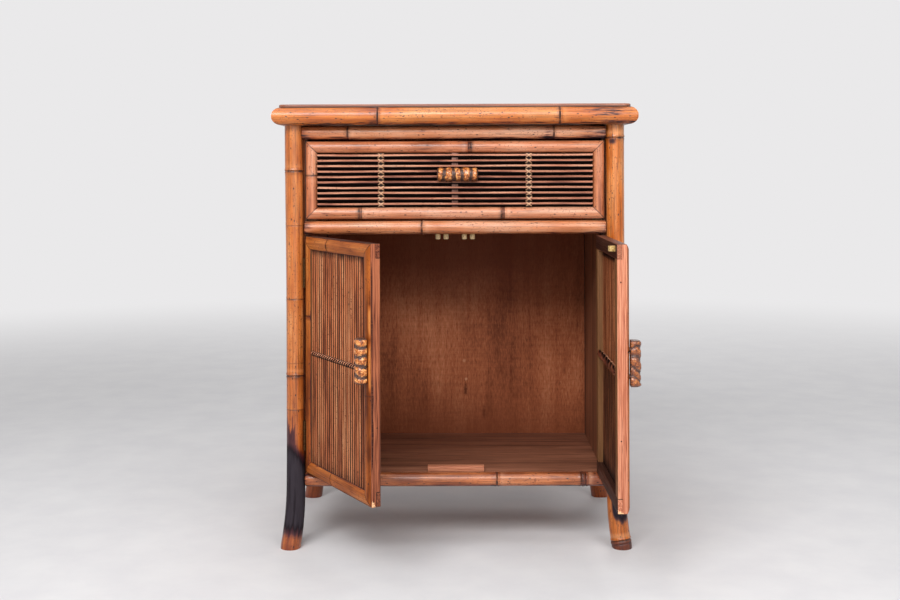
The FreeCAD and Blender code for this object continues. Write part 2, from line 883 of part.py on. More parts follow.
def drawer_trim():
    return group(trim_frame(-drawer_x1, drawer_x1, drawer_y0, drawer_z0, drawer_z1,
                            drawer_trim_width, drawer_trim_height))


def drawer_rods():
    z0, z1, pitch = rod_field()
    x = drawer_x1 - drawer_trim_width - seat_gap
    y = rod_y()
    return group([bar(Vec(-x, y, z0 + (n + 0.5) * pitch), Vec(x, y, z0 + (n + 0.5) * pitch), rod_diameter)
                  for n in range(rod_count)])


def drawer_slats():
    z0, z1, pitch = rod_field()
    slats = []
    for x, width in ((-lash_offset, lash_slat_width), (0.0, middle_slat_width), (lash_offset, lash_slat_width)):
        slats.append(block(x - width / 2, x + width / 2, drawer_y0 - slat_thickness, drawer_y0,
                           z0 + seat_gap, z1 - seat_gap))
    return group(slats)


def drawer_lashings():
    # Crossed strands: each zigzags down the column and crosses the other on the front of every rod.
    z0, z1, pitch = rod_field()
    strands = []
    for x in (-lash_offset, lash_offset):
        for side, layer in ((1, 0.5), (-1, 1.5)):
            y = rod_y() - rod_diameter / 2 - layer * (lash_strand_diameter + seat_gap)
            margin = lash_strand_diameter / 2 + seat_gap
            points = []
            for n in range(rod_count + 1):
                z = min(max(z1 - n * pitch, z0 + margin), z1 - margin)
                points.append(Vec(x + side * (-1) ** n * (lash_width - lash_strand_diameter) / 2, y, z))
            strands.append(zigzag(points, lash_bend_radius, lash_strand_diameter))
            gap = least_gap(points, lash_strand_diameter, 2)
            print("crossed lashing: least gap of a strand to itself", round(gap, 2), "mm")
    return group(strands)


def drawer_handle_centre():
    # The screws pass through the gap between two rods.
    z0, z1, pitch = rod_field()
    gaps = rod_count // 2 + 1
    return Vec(handle_offset, rod_y() - rod_diameter / 2 - seat_gap, z0 + gaps * pitch)


def drawer_handle_screws(play=0.0):
    centre = drawer_handle_centre()
    start = drawer_y0 + drawer_board_thickness
    length = start - centre.y + handle_screw_bite
    return [screw(Vec(centre.x + sign * handle_screw_spacing / 2, start, centre.z), Vec(0, -1, 0), length,
                  handle_screw_diameter, handle_screw_head_diameter, handle_screw_head_height, play)
            for sign in (-1, 1)]


def drawer_handle():
    return root_handle(drawer_handle_centre(), Vec(1, 0, 0), drawer_handle_width,
                       drawer_handle_screws(fit_clearance), 0.0)


drawer_side_x = panel_inner_x - drawer_side_gap
drawer_tail_y = back_inner_y - drawer_tail_gap
drawer_floor_z = drawer_low_z + drawer_bottom_lift
drawer_body_y = drawer_y0 + drawer_board_thickness


def drawer_sides():
    x = drawer_side_x
    side = block(x - drawer_side_thickness, x, drawer_body_y, drawer_tail_y,
                 drawer_low_z, drawer_top_z)
    groove = block(x - drawer_side_thickness - overrun, x - drawer_side_thickness + drawer_groove_depth,
                   drawer_body_y - overrun, drawer_tail_y + overrun,
                   drawer_floor_z - fit_clearance, drawer_floor_z + drawer_bottom_thickness + fit_clearance)
    return group(both_sides(side.cut(groove)))


def drawer_back():
    x = drawer_side_x - drawer_side_thickness
    z0 = drawer_floor_z + drawer_bottom_thickness + fit_clearance
    return block(-x, x, drawer_tail_y - drawer_side_thickness, drawer_tail_y,
                 z0, drawer_top_z - drawer_back_drop)


def drawer_bottom():
    x = drawer_side_x - drawer_side_thickness + drawer_groove_depth - fit_clearance
    return block(-x, x, drawer_body_y + fit_clearance, drawer_tail_y,
                 drawer_floor_z, drawer_floor_z + drawer_bottom_thickness)


# Catches

def roller_places():
    return [(side * catch_offset + sign * roller_offset, sign) for side in (-1, 1) for sign in (-1, 1)]


def travel_slot(x, sign, width, z0, z1):
    far = x + sign * roller_travel
    slot = block(min(x, far), max(x, far), roller_y - width / 2, roller_y + width / 2, z0, z1)
    for place in (x, far):
        slot = slot.fuse(bar(Vec(place, roller_y, z0), Vec(place, roller_y, z1), width))
    return slot


def catch_batten():
    x = panel_inner_x - seat_gap
    batten = block(-x, x, batten_y0, batten_y0 + batten_depth, batten_z0, batten_z1)
    room = roller_head_diameter + 2 * run_gap
    pockets = [travel_slot(place, sign, room, batten_z0 - overrun, batten_z0 + roller_head_height + 2 * run_gap)
               for place, sign in roller_places()]
    return batten.cut(group(pockets))


def catch_plates():
    plates = []
    width = roller_stem_diameter + 2 * run_gap
    slots = group([travel_slot(place, sign, width, batten_z0 - overrun, batten_z0 + overrun)
                   for place, sign in roller_places()])
    for side in (-1, 1):
        x = side * catch_offset
        plate = block(x - catch_plate_width / 2, x + catch_plate_width / 2,
                      roller_y - catch_plate_depth / 2 + run_gap, roller_y + catch_plate_depth / 2 + run_gap,
                      batten_z0 - catch_plate_thickness, batten_z0)
        plates.append(plate.cut(slots))
    return group(plates)


def catch_roller(x):
    top = batten_z0 - catch_plate_thickness - run_gap
    roller = bar(Vec(x, roller_y, top - roller_length), Vec(x, roller_y, top), roller_diameter)
    rim = roller_diameter / 8
    roller = roller.makeChamfer(rim, [roller.Edges[0], roller.Edges[2]])
    head_z = batten_z0 + seat_gap
    stem = bar(Vec(x, roller_y, top), Vec(x, roller_y, head_z), roller_stem_diameter)
    head = bar(Vec(x, roller_y, head_z), Vec(x, roller_y, head_z + roller_head_height), roller_head_diameter)
    return roller.fuse(stem).fuse(head).removeSplitter()


# Every piece, by its node name

def case_pieces():
    cuts = post_cuts()
    front_pole, rear_pole, side_pole = top_poles()
    pieces = {
        "front_post_left": post(-1, -1, left_post_ring_shares, cuts),
        "front_post_right": post(1, -1, right_post_ring_shares, cuts),
        "rear_post_left": post(-1, 1, rear_post_ring_shares, cuts),
        "rear_post_right": post(1, 1, rear_post_ring_shares, cuts),
        "apron_rail": tenoned(apron_ends, apron_diameter, apron_ring_shares),
        "divider_rail": tenoned(divider_ends, divider_diameter, divider_ring_shares),
        "bottom_rail": tenoned(bottom_rail_ends, bottom_rail_diameter, bottom_rail_ring_shares),
        "rear_rails": rear_rails(),
        "side_rails": group(both_sides(side_rails())),
        "top_front_pole": front_pole,
        "top_rear_pole": rear_pole,
        "top_side_poles": group(both_sides(side_pole)),
        "top_sheet": top_sheet(),
        "top_board": top_board(),
        "case_cleats": group(both_sides(top_cleat()) + both_sides(bottom_cleat())),
        "side_panel_left": mirrored(side_panel()),
        "side_panel_right": side_panel(),
        "side_reeds_left": mirrored(side_reeds()),
        "side_reeds_right": side_reeds(),
        "side_lashings": group(both_sides(side_lashing())),
        "back_panel": back_panel(),
        "bottom_board": bottom_board(),
        "door_stop": door_stop(),
        "drawer_runners": drawer_runners(),
        "catch_batten": catch_batten(),
        "catch_plates": catch_plates(),
    }
    hinge_sets = {
        "hinge_post_leaves": [post_leaf(level) for level in hinge_heights],
        "hinge_pins": [hinge_pin(level) for level in hinge_heights],
        "hinge_post_screws": [shape for level in hinge_heights for shape in post_leaf_screws(level)],
    }
    for name, shapes in hinge_sets.items():
        pieces[name] = group([copy for shape in shapes for copy in both_sides(shape)])
    return pieces


def drawer_pieces():
    return {
        "drawer_front_board": drawer_front_board(),
        "drawer_trim": drawer_trim(),
        "drawer_rods": drawer_rods(),
        "drawer_slats": drawer_slats(),
        "drawer_lashings": drawer_lashings(),
        "drawer_handle": drawer_handle(),
        "drawer_handle_screws": group(drawer_handle_screws()),
        "drawer_sides": drawer_sides(),
        "drawer_back": drawer_back(),
        "drawer_bottom": drawer_bottom(),
    }


def door_pieces():
    return {
        "door_frame": door_stiles() + door_rails(),
        "door_trim": door_trim(),
        "door_reeds": door_reeds(),
        "door_lashing": door_lashing(),
        "door_handle": [door_handle()],
        "door_strike": [door_strike()],
        "door_hinge_leaves": [door_leaf(level) for level in hinge_heights],
        "door_screws": handle_screws() + [shape for level in hinge_heights
                                          for shape in door_leaf_screws(level)],
    }


def swung(shape, side, angle):
    turned = shape.copy()
    turned.rotate(Vec(side * pin_x, pin_y, 0), UP, side * angle)
    return turned


def all_pieces():
    pieces = case_pieces()
    pieces.update(drawer_pieces())
    for name, shapes in door_pieces().items():
        closed = group(shapes)
        pieces["right_" + name] = swung(closed, 1, right_door_angle)
        pieces["left_" + name] = swung(mirrored(closed), -1, left_door_angle)
    names = ("left_catch_roller_outer", "left_catch_roller_inner",
             "right_catch_roller_inner", "right_catch_roller_outer")
    for name, (x, sign) in zip(names, roller_places()):
        pieces[name] = catch_roller(x)
    return pieces


os.makedirs("parts", exist_ok=True)
for node, shape in all_pieces().items():
    shape.exportStep("parts/" + node + ".step")
    print(node, len(shape.Solids), "solids", round(shape.Volume / 1000, 2), "cm3")
print("hinge pin x", round(pin_x, 3), "y", round(pin_y, 3))
print("roller y", round(roller_y, 3), "door top", round(door_z1, 3))
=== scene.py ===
import json
import math
import random
import bmesh
import bpy
from mathutils import Matrix, Vector, noise


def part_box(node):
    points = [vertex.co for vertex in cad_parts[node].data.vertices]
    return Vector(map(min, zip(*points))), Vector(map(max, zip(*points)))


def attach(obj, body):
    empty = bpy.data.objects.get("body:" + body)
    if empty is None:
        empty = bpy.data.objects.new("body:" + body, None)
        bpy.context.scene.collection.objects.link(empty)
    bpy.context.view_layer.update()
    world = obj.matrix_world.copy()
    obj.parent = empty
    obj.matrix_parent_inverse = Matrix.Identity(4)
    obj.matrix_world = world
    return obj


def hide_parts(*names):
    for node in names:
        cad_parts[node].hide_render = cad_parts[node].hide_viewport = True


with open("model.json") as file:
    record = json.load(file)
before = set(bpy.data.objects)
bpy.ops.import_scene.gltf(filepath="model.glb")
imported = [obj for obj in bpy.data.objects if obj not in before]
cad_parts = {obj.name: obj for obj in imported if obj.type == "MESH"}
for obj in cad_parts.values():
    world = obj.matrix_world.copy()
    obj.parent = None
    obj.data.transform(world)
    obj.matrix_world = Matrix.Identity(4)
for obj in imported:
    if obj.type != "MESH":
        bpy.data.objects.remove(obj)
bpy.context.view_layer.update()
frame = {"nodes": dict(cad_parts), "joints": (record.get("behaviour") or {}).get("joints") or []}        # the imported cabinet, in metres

alongX = Vector((1, 0, 0))
alongY = Vector((0, 1, 0))
alongZ = Vector((0, 0, 1))
grainOrder = {"x": (1, 2, 0), "y": (0, 2, 1), "z": (0, 1, 2)}     # the grain runs along the third value
finishes = {}


# colours and shader nodes

def paint(colour):
    # screen values from 0 to 255 as the linear ones that shaders take; a single number is a linear grey
    if isinstance(colour, float):
        return (colour, colour, colour, 1.0)
    shares = [value / 255 for value in colour]
    linear = [share / 12.92 if share <= 0.04045 else ((share + 0.055) / 1.055) ** 2.4 for share in shares]
    return (*linear, 1.0)


class Wire:
    # a value in a finish: wires add, subtract and multiply, with each other and with plain numbers
    def __init__(self, tree, socket):
        self.tree = tree
        self.socket = socket

    def beside(self, output):
        return Wire(self.tree, self.socket.node.outputs[output])

    def join(self, operation, other=0.0):
        return put(self.tree, "ShaderNodeMath", {0: self, 1: other}, operation=operation)

    def __add__(self, other):
        return self.join("ADD", other)

    def __sub__(self, other):
        return self.join("SUBTRACT", other)

    def __mul__(self, other):
        return self.join("MULTIPLY", other)

    def spread(self, low, high, toLow=0.0, toHigh=1.0):
        inputs = {0: self, 1: low, 2: high, 3: toLow, 4: toHigh}
        return put(self.tree, "ShaderNodeMapRange", inputs, interpolation_type="SMOOTHSTEP")

    def ramp(self, places, colours):
        made = put(self.tree, "ShaderNodeValToRGB", {0: self})
        bands = made.socket.node.color_ramp.elements
        while len(bands) < len(places):
            bands.new(0.5)
        for band, place, colour in zip(bands, places, colours):
            band.position = place
            band.color = paint(colour)
        return made


def fill(made, inputs):
    for key, value in inputs.items():
        socket = made.inputs[key]
        if isinstance(value, Wire):
            value.tree.links.new(value.socket, socket)
        else:
            socket.default_value = paint(value) if socket.type == "RGBA" else value


def put(tree, kind, inputs, output=0, **settings):
    made = tree.nodes.new(kind)
    for key, value in settings.items():
        setattr(made, key, value)
    fill(made, inputs)
    return Wire(tree, made.outputs[output])


def saved(tree, name, output="Fac"):
    return put(tree, "ShaderNodeAttribute", {}, output, attribute_name=name)


def objectPlace(tree):
    return put(tree, "ShaderNodeTexCoord", {}, "Object")


def onVector(operation, vector, other=(0, 0, 0), output=0):
    return put(vector.tree, "ShaderNodeVectorMath", {0: vector, 1: other}, output, operation=operation)


def clouds(vector, scale, detail=3.0, rough=0.6, bend=0.0):
    inputs = {"Vector": onVector("MULTIPLY", vector, scale), "Scale": 1.0, "Detail": detail, "Roughness": rough,
              "Distortion": bend}
    return put(vector.tree, "ShaderNodeTexNoise", inputs)


def specks(vector, scale, near, far, least, crowd=0.0):
    # round marks in those cells whose drawn number, less crowd, is above the least
    inputs = {"Vector": onVector("MULTIPLY", vector, scale), "Scale": 1.0}
    distance = put(vector.tree, "ShaderNodeTexVoronoi", inputs, "Distance")
    drawn = put(vector.tree, "ShaderNodeSeparateColor", {0: distance.beside("Color")})
    return distance.spread(near, far, 1.0, 0.0) * (drawn - crowd).join("GREATER_THAN", least)


def mixed(share, first, second):
    return put(share.tree, "ShaderNodeMix", {0: share, 6: first, 7: second}, 2, data_type="RGBA")


def darkened(colour, shade, low, high, least):
    inputs = {0: 1.0, 6: colour, 7: shade.ramp((low, high), (least, 1.0))}
    return put(colour.tree, "ShaderNodeMix", inputs, 2, data_type="RGBA", blend_type="MULTIPLY")


def bump(height, strength, distance):
    return put(height.tree, "ShaderNodeBump", {"Height": height, "Strength": strength, "Distance": distance})


def newFinish(name):
    finishes[name] = bpy.data.materials.new(name)
    finishes[name].use_nodes = True
    tree = finishes[name].node_tree
    return tree, tree.nodes["Principled BSDF"]


def alongGrain(tree, axis):
    # stored on built pieces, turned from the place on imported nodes
    if axis is None:
        return saved(tree, "grain", "Vector")
    parts = put(tree, "ShaderNodeSeparateXYZ", {0: objectPlace(tree)})
    return put(tree, "ShaderNodeCombineXYZ", {index: parts.beside(grainOrder[axis][index]) for index in range(3)})


# varnished bamboo and cane

caneBase = dict(
    shades=((146, 68, 22), (198, 106, 44), (214, 126, 60), (226, 150, 92)),     # from deep to flushed
    burns=((128, 48, 26), (62, 30, 30), (33, 26, 32), (48, 43, 50)),            # scorch, burn, char and ash, which also colour the painted shade
    fibre=0.75, thread=(480, 480, 13), weave=0.58, grit=0.85, flecks=0.75, mark=(104, 44, 22), specks=0.17,
    speck=(44, 18, 14), ringMark=(52, 26, 20), ragged=0.9, tear=(150, 150, 12), gloss=0.27, shine=0.5, bump=0.4,
    coat=0.12)
thinCane = dict(caneBase, specks=0.05, flecks=0.5, ragged=0.4, gloss=0.4, shine=0.25, coat=0.0)
caneLooks = {
    "postCane": dict(caneBase, burns=((108, 34, 24), (66, 26, 32), (30, 23, 28), (54, 48, 54)), ragged=0.75,
                     weave=0.52, specks=0.28),
    "goldCane": dict(caneBase, shades=((160, 74, 12), (210, 112, 32), (226, 142, 76), (232, 166, 114)),
                     burns=((124, 54, 18), *caneBase["burns"][1:]), ragged=0.45, weave=0.52),
    "rimCane": dict(caneBase, shades=((152, 66, 14), (200, 104, 36), (213, 122, 50), (224, 146, 82)),
                    specks=0.18, tear=(260, 260, 26), ragged=2.4),
    "railCane": dict(caneBase, shades=((150, 78, 44), (206, 120, 70), (218, 140, 94), (228, 164, 126)),
                     specks=0.2, tear=(260, 260, 26), ragged=2.0),
    "splitCane": dict(caneBase, shades=((146, 78, 48), (204, 122, 80), (218, 142, 102), (228, 164, 130)), specks=0.2),
    "doorCane": dict(caneBase, shades=((104, 46, 12), (170, 88, 32), (190, 106, 44), (212, 132, 66)),
                     flecks=0.9, gloss=0.4, shine=0.16, coat=0.0),
    # on the thin canes below, these burn colours serve mostly as painted shade in crevices and underneath
    "rodCane": dict(thinCane, shades=((126, 72, 54), (190, 122, 94), (208, 144, 114), (224, 168, 138)),
                    burns=((84, 36, 26), (30, 11, 8), (12, 5, 4), (16, 7, 6))),
    "reedCane": dict(thinCane, shades=((124, 60, 32), (194, 110, 67), (212, 131, 85), (224, 152, 106)),
                     burns=((70, 30, 16), (30, 12, 7), (12, 5, 3), (16, 7, 5)), gloss=0.5, shine=0.18),
    "lashCane": dict(thinCane, shades=((186, 120, 80), (226, 168, 124), (236, 186, 146), (244, 206, 172)),
                     burns=((96, 46, 28), (44, 18, 12), (22, 10, 7), (26, 12, 8)), specks=0.02, flecks=0.4,
                     gloss=0.42),
    "twineCane": dict(thinCane, shades=((130, 64, 44), (212, 134, 98), (232, 162, 124), (244, 188, 154)),
                      burns=((66, 30, 18), (30, 12, 8), (14, 6, 4), (18, 8, 6)), specks=0.02, ragged=0.5, gloss=0.46,
                      shine=0.2),
}


def caneFinish(name, look):
    tree, shader = newFinish(name)
    grain = saved(tree, "grain", "Vector")
    ring = saved(tree, "ring")
    soot = saved(tree, "soot")
    cloud = clouds(grain, (34, 34, 11), 4.0, 0.55)
    streak = clouds(grain, (240, 240, 6))
    fibre = clouds(grain, (1500, 1500, 16), 3.0, 0.65)
    blend = cloud * 0.62 + streak * 0.38 + saved(tree, "tone") * 0.16
    colour = blend.ramp((0.35, 0.46, 0.56, 0.68), look["shades"])
    colour = darkened(colour, fibre, 0.3, 0.62, look["fibre"])
    colour = darkened(colour, clouds(grain, look["thread"], 3.0, 0.7), 0.34, 0.56, look["weave"])
    # fine grit, thicker in some places than in others
    grit = clouds(grain, (460, 460, 300), 2.0) + cloud * 0.25
    colour = mixed(grit.spread(0.74, 0.82) * look["grit"], colour, look["mark"])
    # short dark flecks lying along the fibres
    fleck = clouds(grain, (330, 330, 42), 2.0, 0.5).spread(0.66, 0.74)
    colour = mixed(fleck * look["flecks"], colour, look["mark"])
    # pin holes and specks
    speck = specks(grain, (210, 210, 95), 0.13, 0.24, 1.0 - look["specks"], (cloud - 0.5) * 0.5)
    colour = mixed(speck, colour, look["speck"])
    # node rings, broken up a little, with a paler band beside them
    broken = clouds(grain, (160, 160, 60), 3.0, 0.7).spread(0.3, 0.62, 0.45, 1.0)
    darkRing = ring.spread(0.06, 0.6) * broken
    colour = mixed(ring.spread(-0.08, -0.7, 0.0, 0.6), colour, look["shades"][-1])
    colour = mixed(darkRing, colour, look["ringMark"])
    # char, scorch and dirt, and painted shade, all from the stored darkening, with a torn fringe
    torn = clouds(grain, look["tear"], 4.0, 0.65) - 0.5
    depth = soot + torn * (soot.spread(0.02, 0.3) * look["ragged"])
    streakedDepth = depth + (streak - 0.5) * 0.5
    burntAndShaded = streakedDepth.ramp((0.14, 0.42, 0.72, 1.1 / 1.15), look["burns"])
    colour = mixed(depth.spread(0.06, 0.5), colour, burntAndShaded)
    rough = fibre.spread(0.3, 0.7, look["gloss"], look["gloss"] + 0.1)
    rough = rough + depth.spread(0.3, 0.9, 0.0, 0.28) + darkRing * 0.2
    height = fibre * 0.35 - speck + streak * 0.5
    fill(shader, {"Base Color": colour, "Roughness": rough, "Normal": bump(height, look["bump"], 0.0006),
                  "Coat Weight": depth.spread(0.25, 0.7, look["coat"], 0.0), "Coat Roughness": 0.22,
                  "Specular IOR Level": depth.spread(0.25, 0.8, look["shine"], 0.08)})


# bamboo root of the handles: yellow lobes between dark scars

rootLooks = {
    "rootCane": dict(lobes=((112, 52, 20), (206, 116, 46), (246, 182, 112)),
                     scars=((24, 12, 9), (72, 38, 24), (112, 72, 50))),
    "darkRootCane": dict(lobes=((112, 58, 32), (156, 84, 40), (206, 128, 70)),
                         scars=((42, 25, 24), (84, 48, 36), (132, 92, 74))),
}


def rootFinish(name, look):
    tree, shader = newFinish(name)
    grain = saved(tree, "grain", "Vector")
    blotch = clouds(grain, (250, 250, 210), 4.0, 0.7)
    colour = blotch.ramp((0.4, 0.51, 0.64), look["lobes"])
    colour = darkened(colour, clouds(grain, (900, 900, 60), 3.0, 0.7), 0.3, 0.6, 0.78)
    torn = clouds(grain, (340, 340, 340), 4.0, 0.7) - 0.5
    edge = saved(tree, "ring") + torn * 3.0
    scar = edge.spread(0.36, 0.58)
    colour = mixed(scar, colour, clouds(grain, (520, 520, 380)).ramp((0.34, 0.52, 0.7), look["scars"]))
    pit = specks(grain, (300, 300, 240), 0.14, 0.3, 0.62)
    colour = mixed(pit * 0.85, colour, look["scars"][0])
    # painted shade on the lower side, in the darkest scar colour
    colour = mixed(saved(tree, "soot"), colour, look["scars"][0])
    height = blotch * 0.8 - (pit + scar)
    fill(shader, {"Base Color": colour, "Roughness": edge.spread(0.3, 0.7, 0.26, 0.5),
                  "Normal": bump(height, 0.5, 0.0008), "Coat Weight": 0.2, "Coat Roughness": 0.18})


# sawn wood and plywood

woodBase = dict(
    shades=((120, 66, 46), (170, 104, 76), (200, 134, 102)), stops=(0.3, 0.5, 0.72), raw=(240, 190, 142),
    drift=(18, 18, 1.6), lines=(60, 60, 2.2), turns=9.0, figure=0.7, fibre=(1100, 1100, 26), pores=(900, 900, 34),
    poreShare=0.5, pore=(86, 42, 30), stains=(30, 30, 7), stainShare=0.35, stain=(110, 58, 46), grime=(38, 25, 22),
    bare=((84, 58, 34), (164, 118, 74)), knots=(), gloss=0.42, bump=0.25, shine=0.4, axis=None)
frameBase = dict(woodBase, turns=4.0, fibre=(420, 420, 14), shine=0.12)
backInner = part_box("back_panel")[0].y
# place, reach each way, raggedness and colour: knot marks and pale scratches, then painted shade at the top and the
# bottom
backMarksAndShade = [((x, backInner, z), (across, 500.0, up), ragged, colour) for x, z, across, up, ragged, colour in (
    (0.018, 0.208, 200.0, 56.0, 2.0, (60, 24, 12)),
    (0.054, 0.161, 220.0, 58.0, 2.0, (56, 22, 12)),
    (0.0155, 0.264, 210.0, 230.0, 2.0, (186, 128, 92)),
    (0.019, 0.228, 280.0, 240.0, 2.0, (206, 150, 112)),
    (0.0, 0.49, 1.6, 5.5, 0.5, (104, 46, 23)),
    (0.0, 0.06, 1.6, 4.5, 0.5, (116, 60, 37)),
)]
# painted shade: dark bands at the rear corners and behind the front posts
sideBands = [((0.0, 0.157, 0.0), (0.0, 45.0, 0.0), 0.6, (24, 11, 7)),
             ((0.0, -0.125, 0.0), (0.0, 20.0, 0.0), 0.8, (26, 12, 8))]
woodLooks = {
    "leftFrameWood": dict(frameBase, shades=((70, 32, 26), (126, 68, 47), (174, 103, 71)),
                          stops=(0.42, 0.56, 0.72), lines=(330, 330, 4), stains=(240, 240, 8), stainShare=0.9,
                          stain=(74, 38, 40)),
    "rightFrameWood": dict(frameBase, shades=((134, 68, 44), (183, 108, 79), (214, 145, 114)),
                           stops=(0.4, 0.56, 0.76), lines=(330, 330, 5), stains=(240, 240, 12), stainShare=0.6,
                           stain=(148, 76, 62)),
    "drawerWood": dict(woodBase, shades=((118, 80, 50), (168, 122, 80), (194, 150, 106))),
    "blackBoard": dict(woodBase, shades=((14, 9, 8), (22, 14, 12), (34, 22, 18)), pore=(8, 5, 5), stain=(12, 8, 8),
                       gloss=0.7, shine=0.04),
    "slatWood": dict(woodBase, shades=((74, 46, 38), (122, 82, 68), (150, 108, 92))),
    "stopWood": dict(woodBase, shades=((132, 72, 48), (184, 112, 80), (208, 140, 106))),
    "topWood": dict(woodBase, shades=((96, 52, 36), (142, 84, 60), (166, 106, 80)), drift=(7, 7, 0.9),
                    lines=(26, 26, 1.1), turns=12.0, figure=0.8, gloss=0.3, shine=0.5),
    "backPly": dict(woodBase, shades=((108, 54, 32), (164, 93, 60), (202, 130, 92)), stops=(0.33, 0.46, 0.6),
                    drift=(12, 12, 3.0), lines=(26, 26, 1.3), turns=3.0, figure=0.16, fibre=(420, 420, 80),
                    ripple=(11, 11, 170), pores=(460, 460, 70), poreShare=0.55, pore=(84, 40, 21), stains=(20, 20, 7),
                    stainShare=0.4, stain=(112, 58, 32), knots=backMarksAndShade, gloss=0.55, shine=0.15),
    "floorPly": dict(woodBase, shades=((88, 52, 38), (140, 90, 68), (176, 120, 94)), stops=(0.36, 0.54, 0.7),
                     drift=(26, 26, 2.0), lines=(90, 90, 2.5), turns=3.0, figure=0.24, fibre=(300, 300, 16),
                     pores=(420, 420, 22), poreShare=0.6, pore=(70, 40, 25), stains=(40, 40, 6), stainShare=0.5,
                     stain=(86, 54, 38), gloss=0.55, shine=0.15),
    "sidePly": dict(woodBase, shades=((70, 38, 24), (116, 68, 44), (148, 94, 64)), drift=(26, 26, 1.2),
                    lines=(34, 34, 1.3), turns=5.0, pores=(520, 520, 26), poreShare=0.7, pore=(50, 25, 16),
                    stains=(24, 24, 4), stainShare=0.8, stain=(50, 25, 17), knots=sideBands, gloss=0.52, axis="z"),
    "runnerWood": dict(woodBase, shades=((96, 62, 40), (146, 100, 66), (174, 128, 90)), axis="y"),
    "battenWood": dict(woodBase, shades=((60, 34, 24), (88, 52, 36), (110, 70, 50)), axis="x"),
    "bareBoard": dict(woodBase, shades=((120, 84, 54), (160, 118, 80), (184, 142, 102)), axis="x"),
}


def woodFinish(name, look):
    tree, shader = newFinish(name)
    grain = alongGrain(tree, look["axis"])
    drift = clouds(grain, look["drift"], 3.0, 0.5)
    lines = clouds(grain, look["lines"], 4.0, 0.62, 0.35)
    figure = (lines * look["turns"] + drift).join("FRACT") - 0.5
    fibre = clouds(grain, look["fibre"], 3.0, 0.7)
    blend = figure.join("ABSOLUTE") * look["figure"] + drift * 0.5 + fibre * 0.35 + saved(tree, "tone") * 0.22
    colour = blend.ramp((*look["stops"], 0.94, 1.0), (*look["shades"], look["shades"][-1], look["raw"]))
    pores = clouds(grain, look["pores"], 2.0, 0.5).spread(0.6, 0.7)
    colour = mixed(pores * look["poreShare"], colour, look["pore"])
    if "ripple" in look:
        colour = darkened(colour, clouds(grain, look["ripple"], 3.0, 0.7), 0.34, 0.62, 0.84)
    stain = clouds(grain, look["stains"], 4.0).spread(0.56, 0.72)
    colour = mixed(stain * look["stainShare"], colour, look["stain"])
    # knot marks, scratches and painted shade bands, each fading out from its place
    for place, reach, ragged, patchColour in look["knots"]:
        apart = onVector("SUBTRACT", objectPlace(tree), place)
        far = onVector("LENGTH", onVector("MULTIPLY", apart, reach), output="Value")
        far = far + clouds(grain, (260, 260, 130), 4.0, 0.7) * ragged
        colour = mixed(far.spread(ragged / 2 + 0.2, ragged / 2 + 0.9, 0.85, 0.0), colour, patchColour)
    colour = mixed(saved(tree, "ring"), colour, mixed(fibre * 0.9, *look["bare"]))
    # dirt and painted shade from the stored darkening
    colour = mixed(saved(tree, "soot"), colour, look["grime"])
    fill(shader, {"Base Color": colour, "Roughness": fibre.spread(0.3, 0.7, look["gloss"], look["gloss"] + 0.14),
                  "Normal": bump(fibre * 0.5 - pores, look["bump"], 0.0004), "Specular IOR Level": look["shine"]})


# small fittings: brass, steel and aged ivory

fittingLooks = {
    "agedBrass": dict(shades=((140, 108, 64), (204, 172, 112), (228, 204, 152)), gloss=0.3, metal=1.0),
    "darkBrass": dict(shades=((46, 30, 20), (76, 52, 32), (112, 82, 50)), gloss=0.42, metal=1.0),
    "dullSteel": dict(shades=((96, 92, 88), (148, 144, 138), (182, 178, 172)), gloss=0.34, metal=1.0),
    "agedIvory": dict(shades=((206, 166, 116), (238, 208, 158), (248, 228, 190)), gloss=0.34, metal=0.0),
}


def fittingFinish(name, look):
    tree, shader = newFinish(name)
    place = objectPlace(tree)
    patina = clouds(place, (420, 420, 420), 4.0, 0.65)
    scratch = clouds(place, (300, 300, 3200), 2.0, 0.5)
    rough = patina.spread(0.3, 0.7, look["gloss"] + 0.16, look["gloss"]) + scratch * 0.1
    fill(shader, {"Base Color": patina.ramp((0.34, 0.52, 0.7), look["shades"]), "Roughness": rough,
                  "Normal": bump(scratch, 0.15, 0.0001), "Metallic": look["metal"]})


for makeFinish, looks in ((caneFinish, caneLooks), (rootFinish, rootLooks), (woodFinish, woodLooks),
                          (fittingFinish, fittingLooks)):
    for finishName, finishLook in looks.items():
        makeFinish(finishName, finishLook)
print("finishes:", len(finishes))


# mesh building: rows of points with the values that the finishes read

def newMesh():
    return dict(points=[], faces=[], grain=[], ring=[], soot=[], tone=[])


def addPoint(mesh, point, grain, ring=0.0, soot=0.0, tone=0.0):
    values = dict(points=Vector(point), grain=Vector(grain), ring=ring, soot=soot, tone=tone)
    for key, value in values.items():
        mesh[key].append(value)
    return len(mesh["points"]) - 1


def addRows(mesh, rows):
    # skins rows of equal length into one closed body, with a flat face at each end
    count = len(rows[0])
    for near, far in zip(rows, rows[1:]):
        for step in range(count):
            after = (step + 1) % count
            mesh["faces"].append((near[step], near[after], far[after], far[step]))
    mesh["faces"].append(tuple(reversed(rows[0])))
    mesh["faces"].append(tuple(rows[-1]))


def seededShift(seed):
    draw = random.Random(seed)
    return Vector([draw.uniform(-9, 9) for axis in range(3)])


def smooth(low, high, value):
    share = min(1.0, max(0.0, (value - low) / (high - low)))
    return share * share * (3 - 2 * share)


def peak(distance, width):
    return math.exp(-(distance / width) ** 2)


def wander(along, lane, side):
    return noise.noise(Vector((along, lane, side)))


def deepest(amounts, **shares):
    return max(amounts[key] * share for key, share in shares.items())


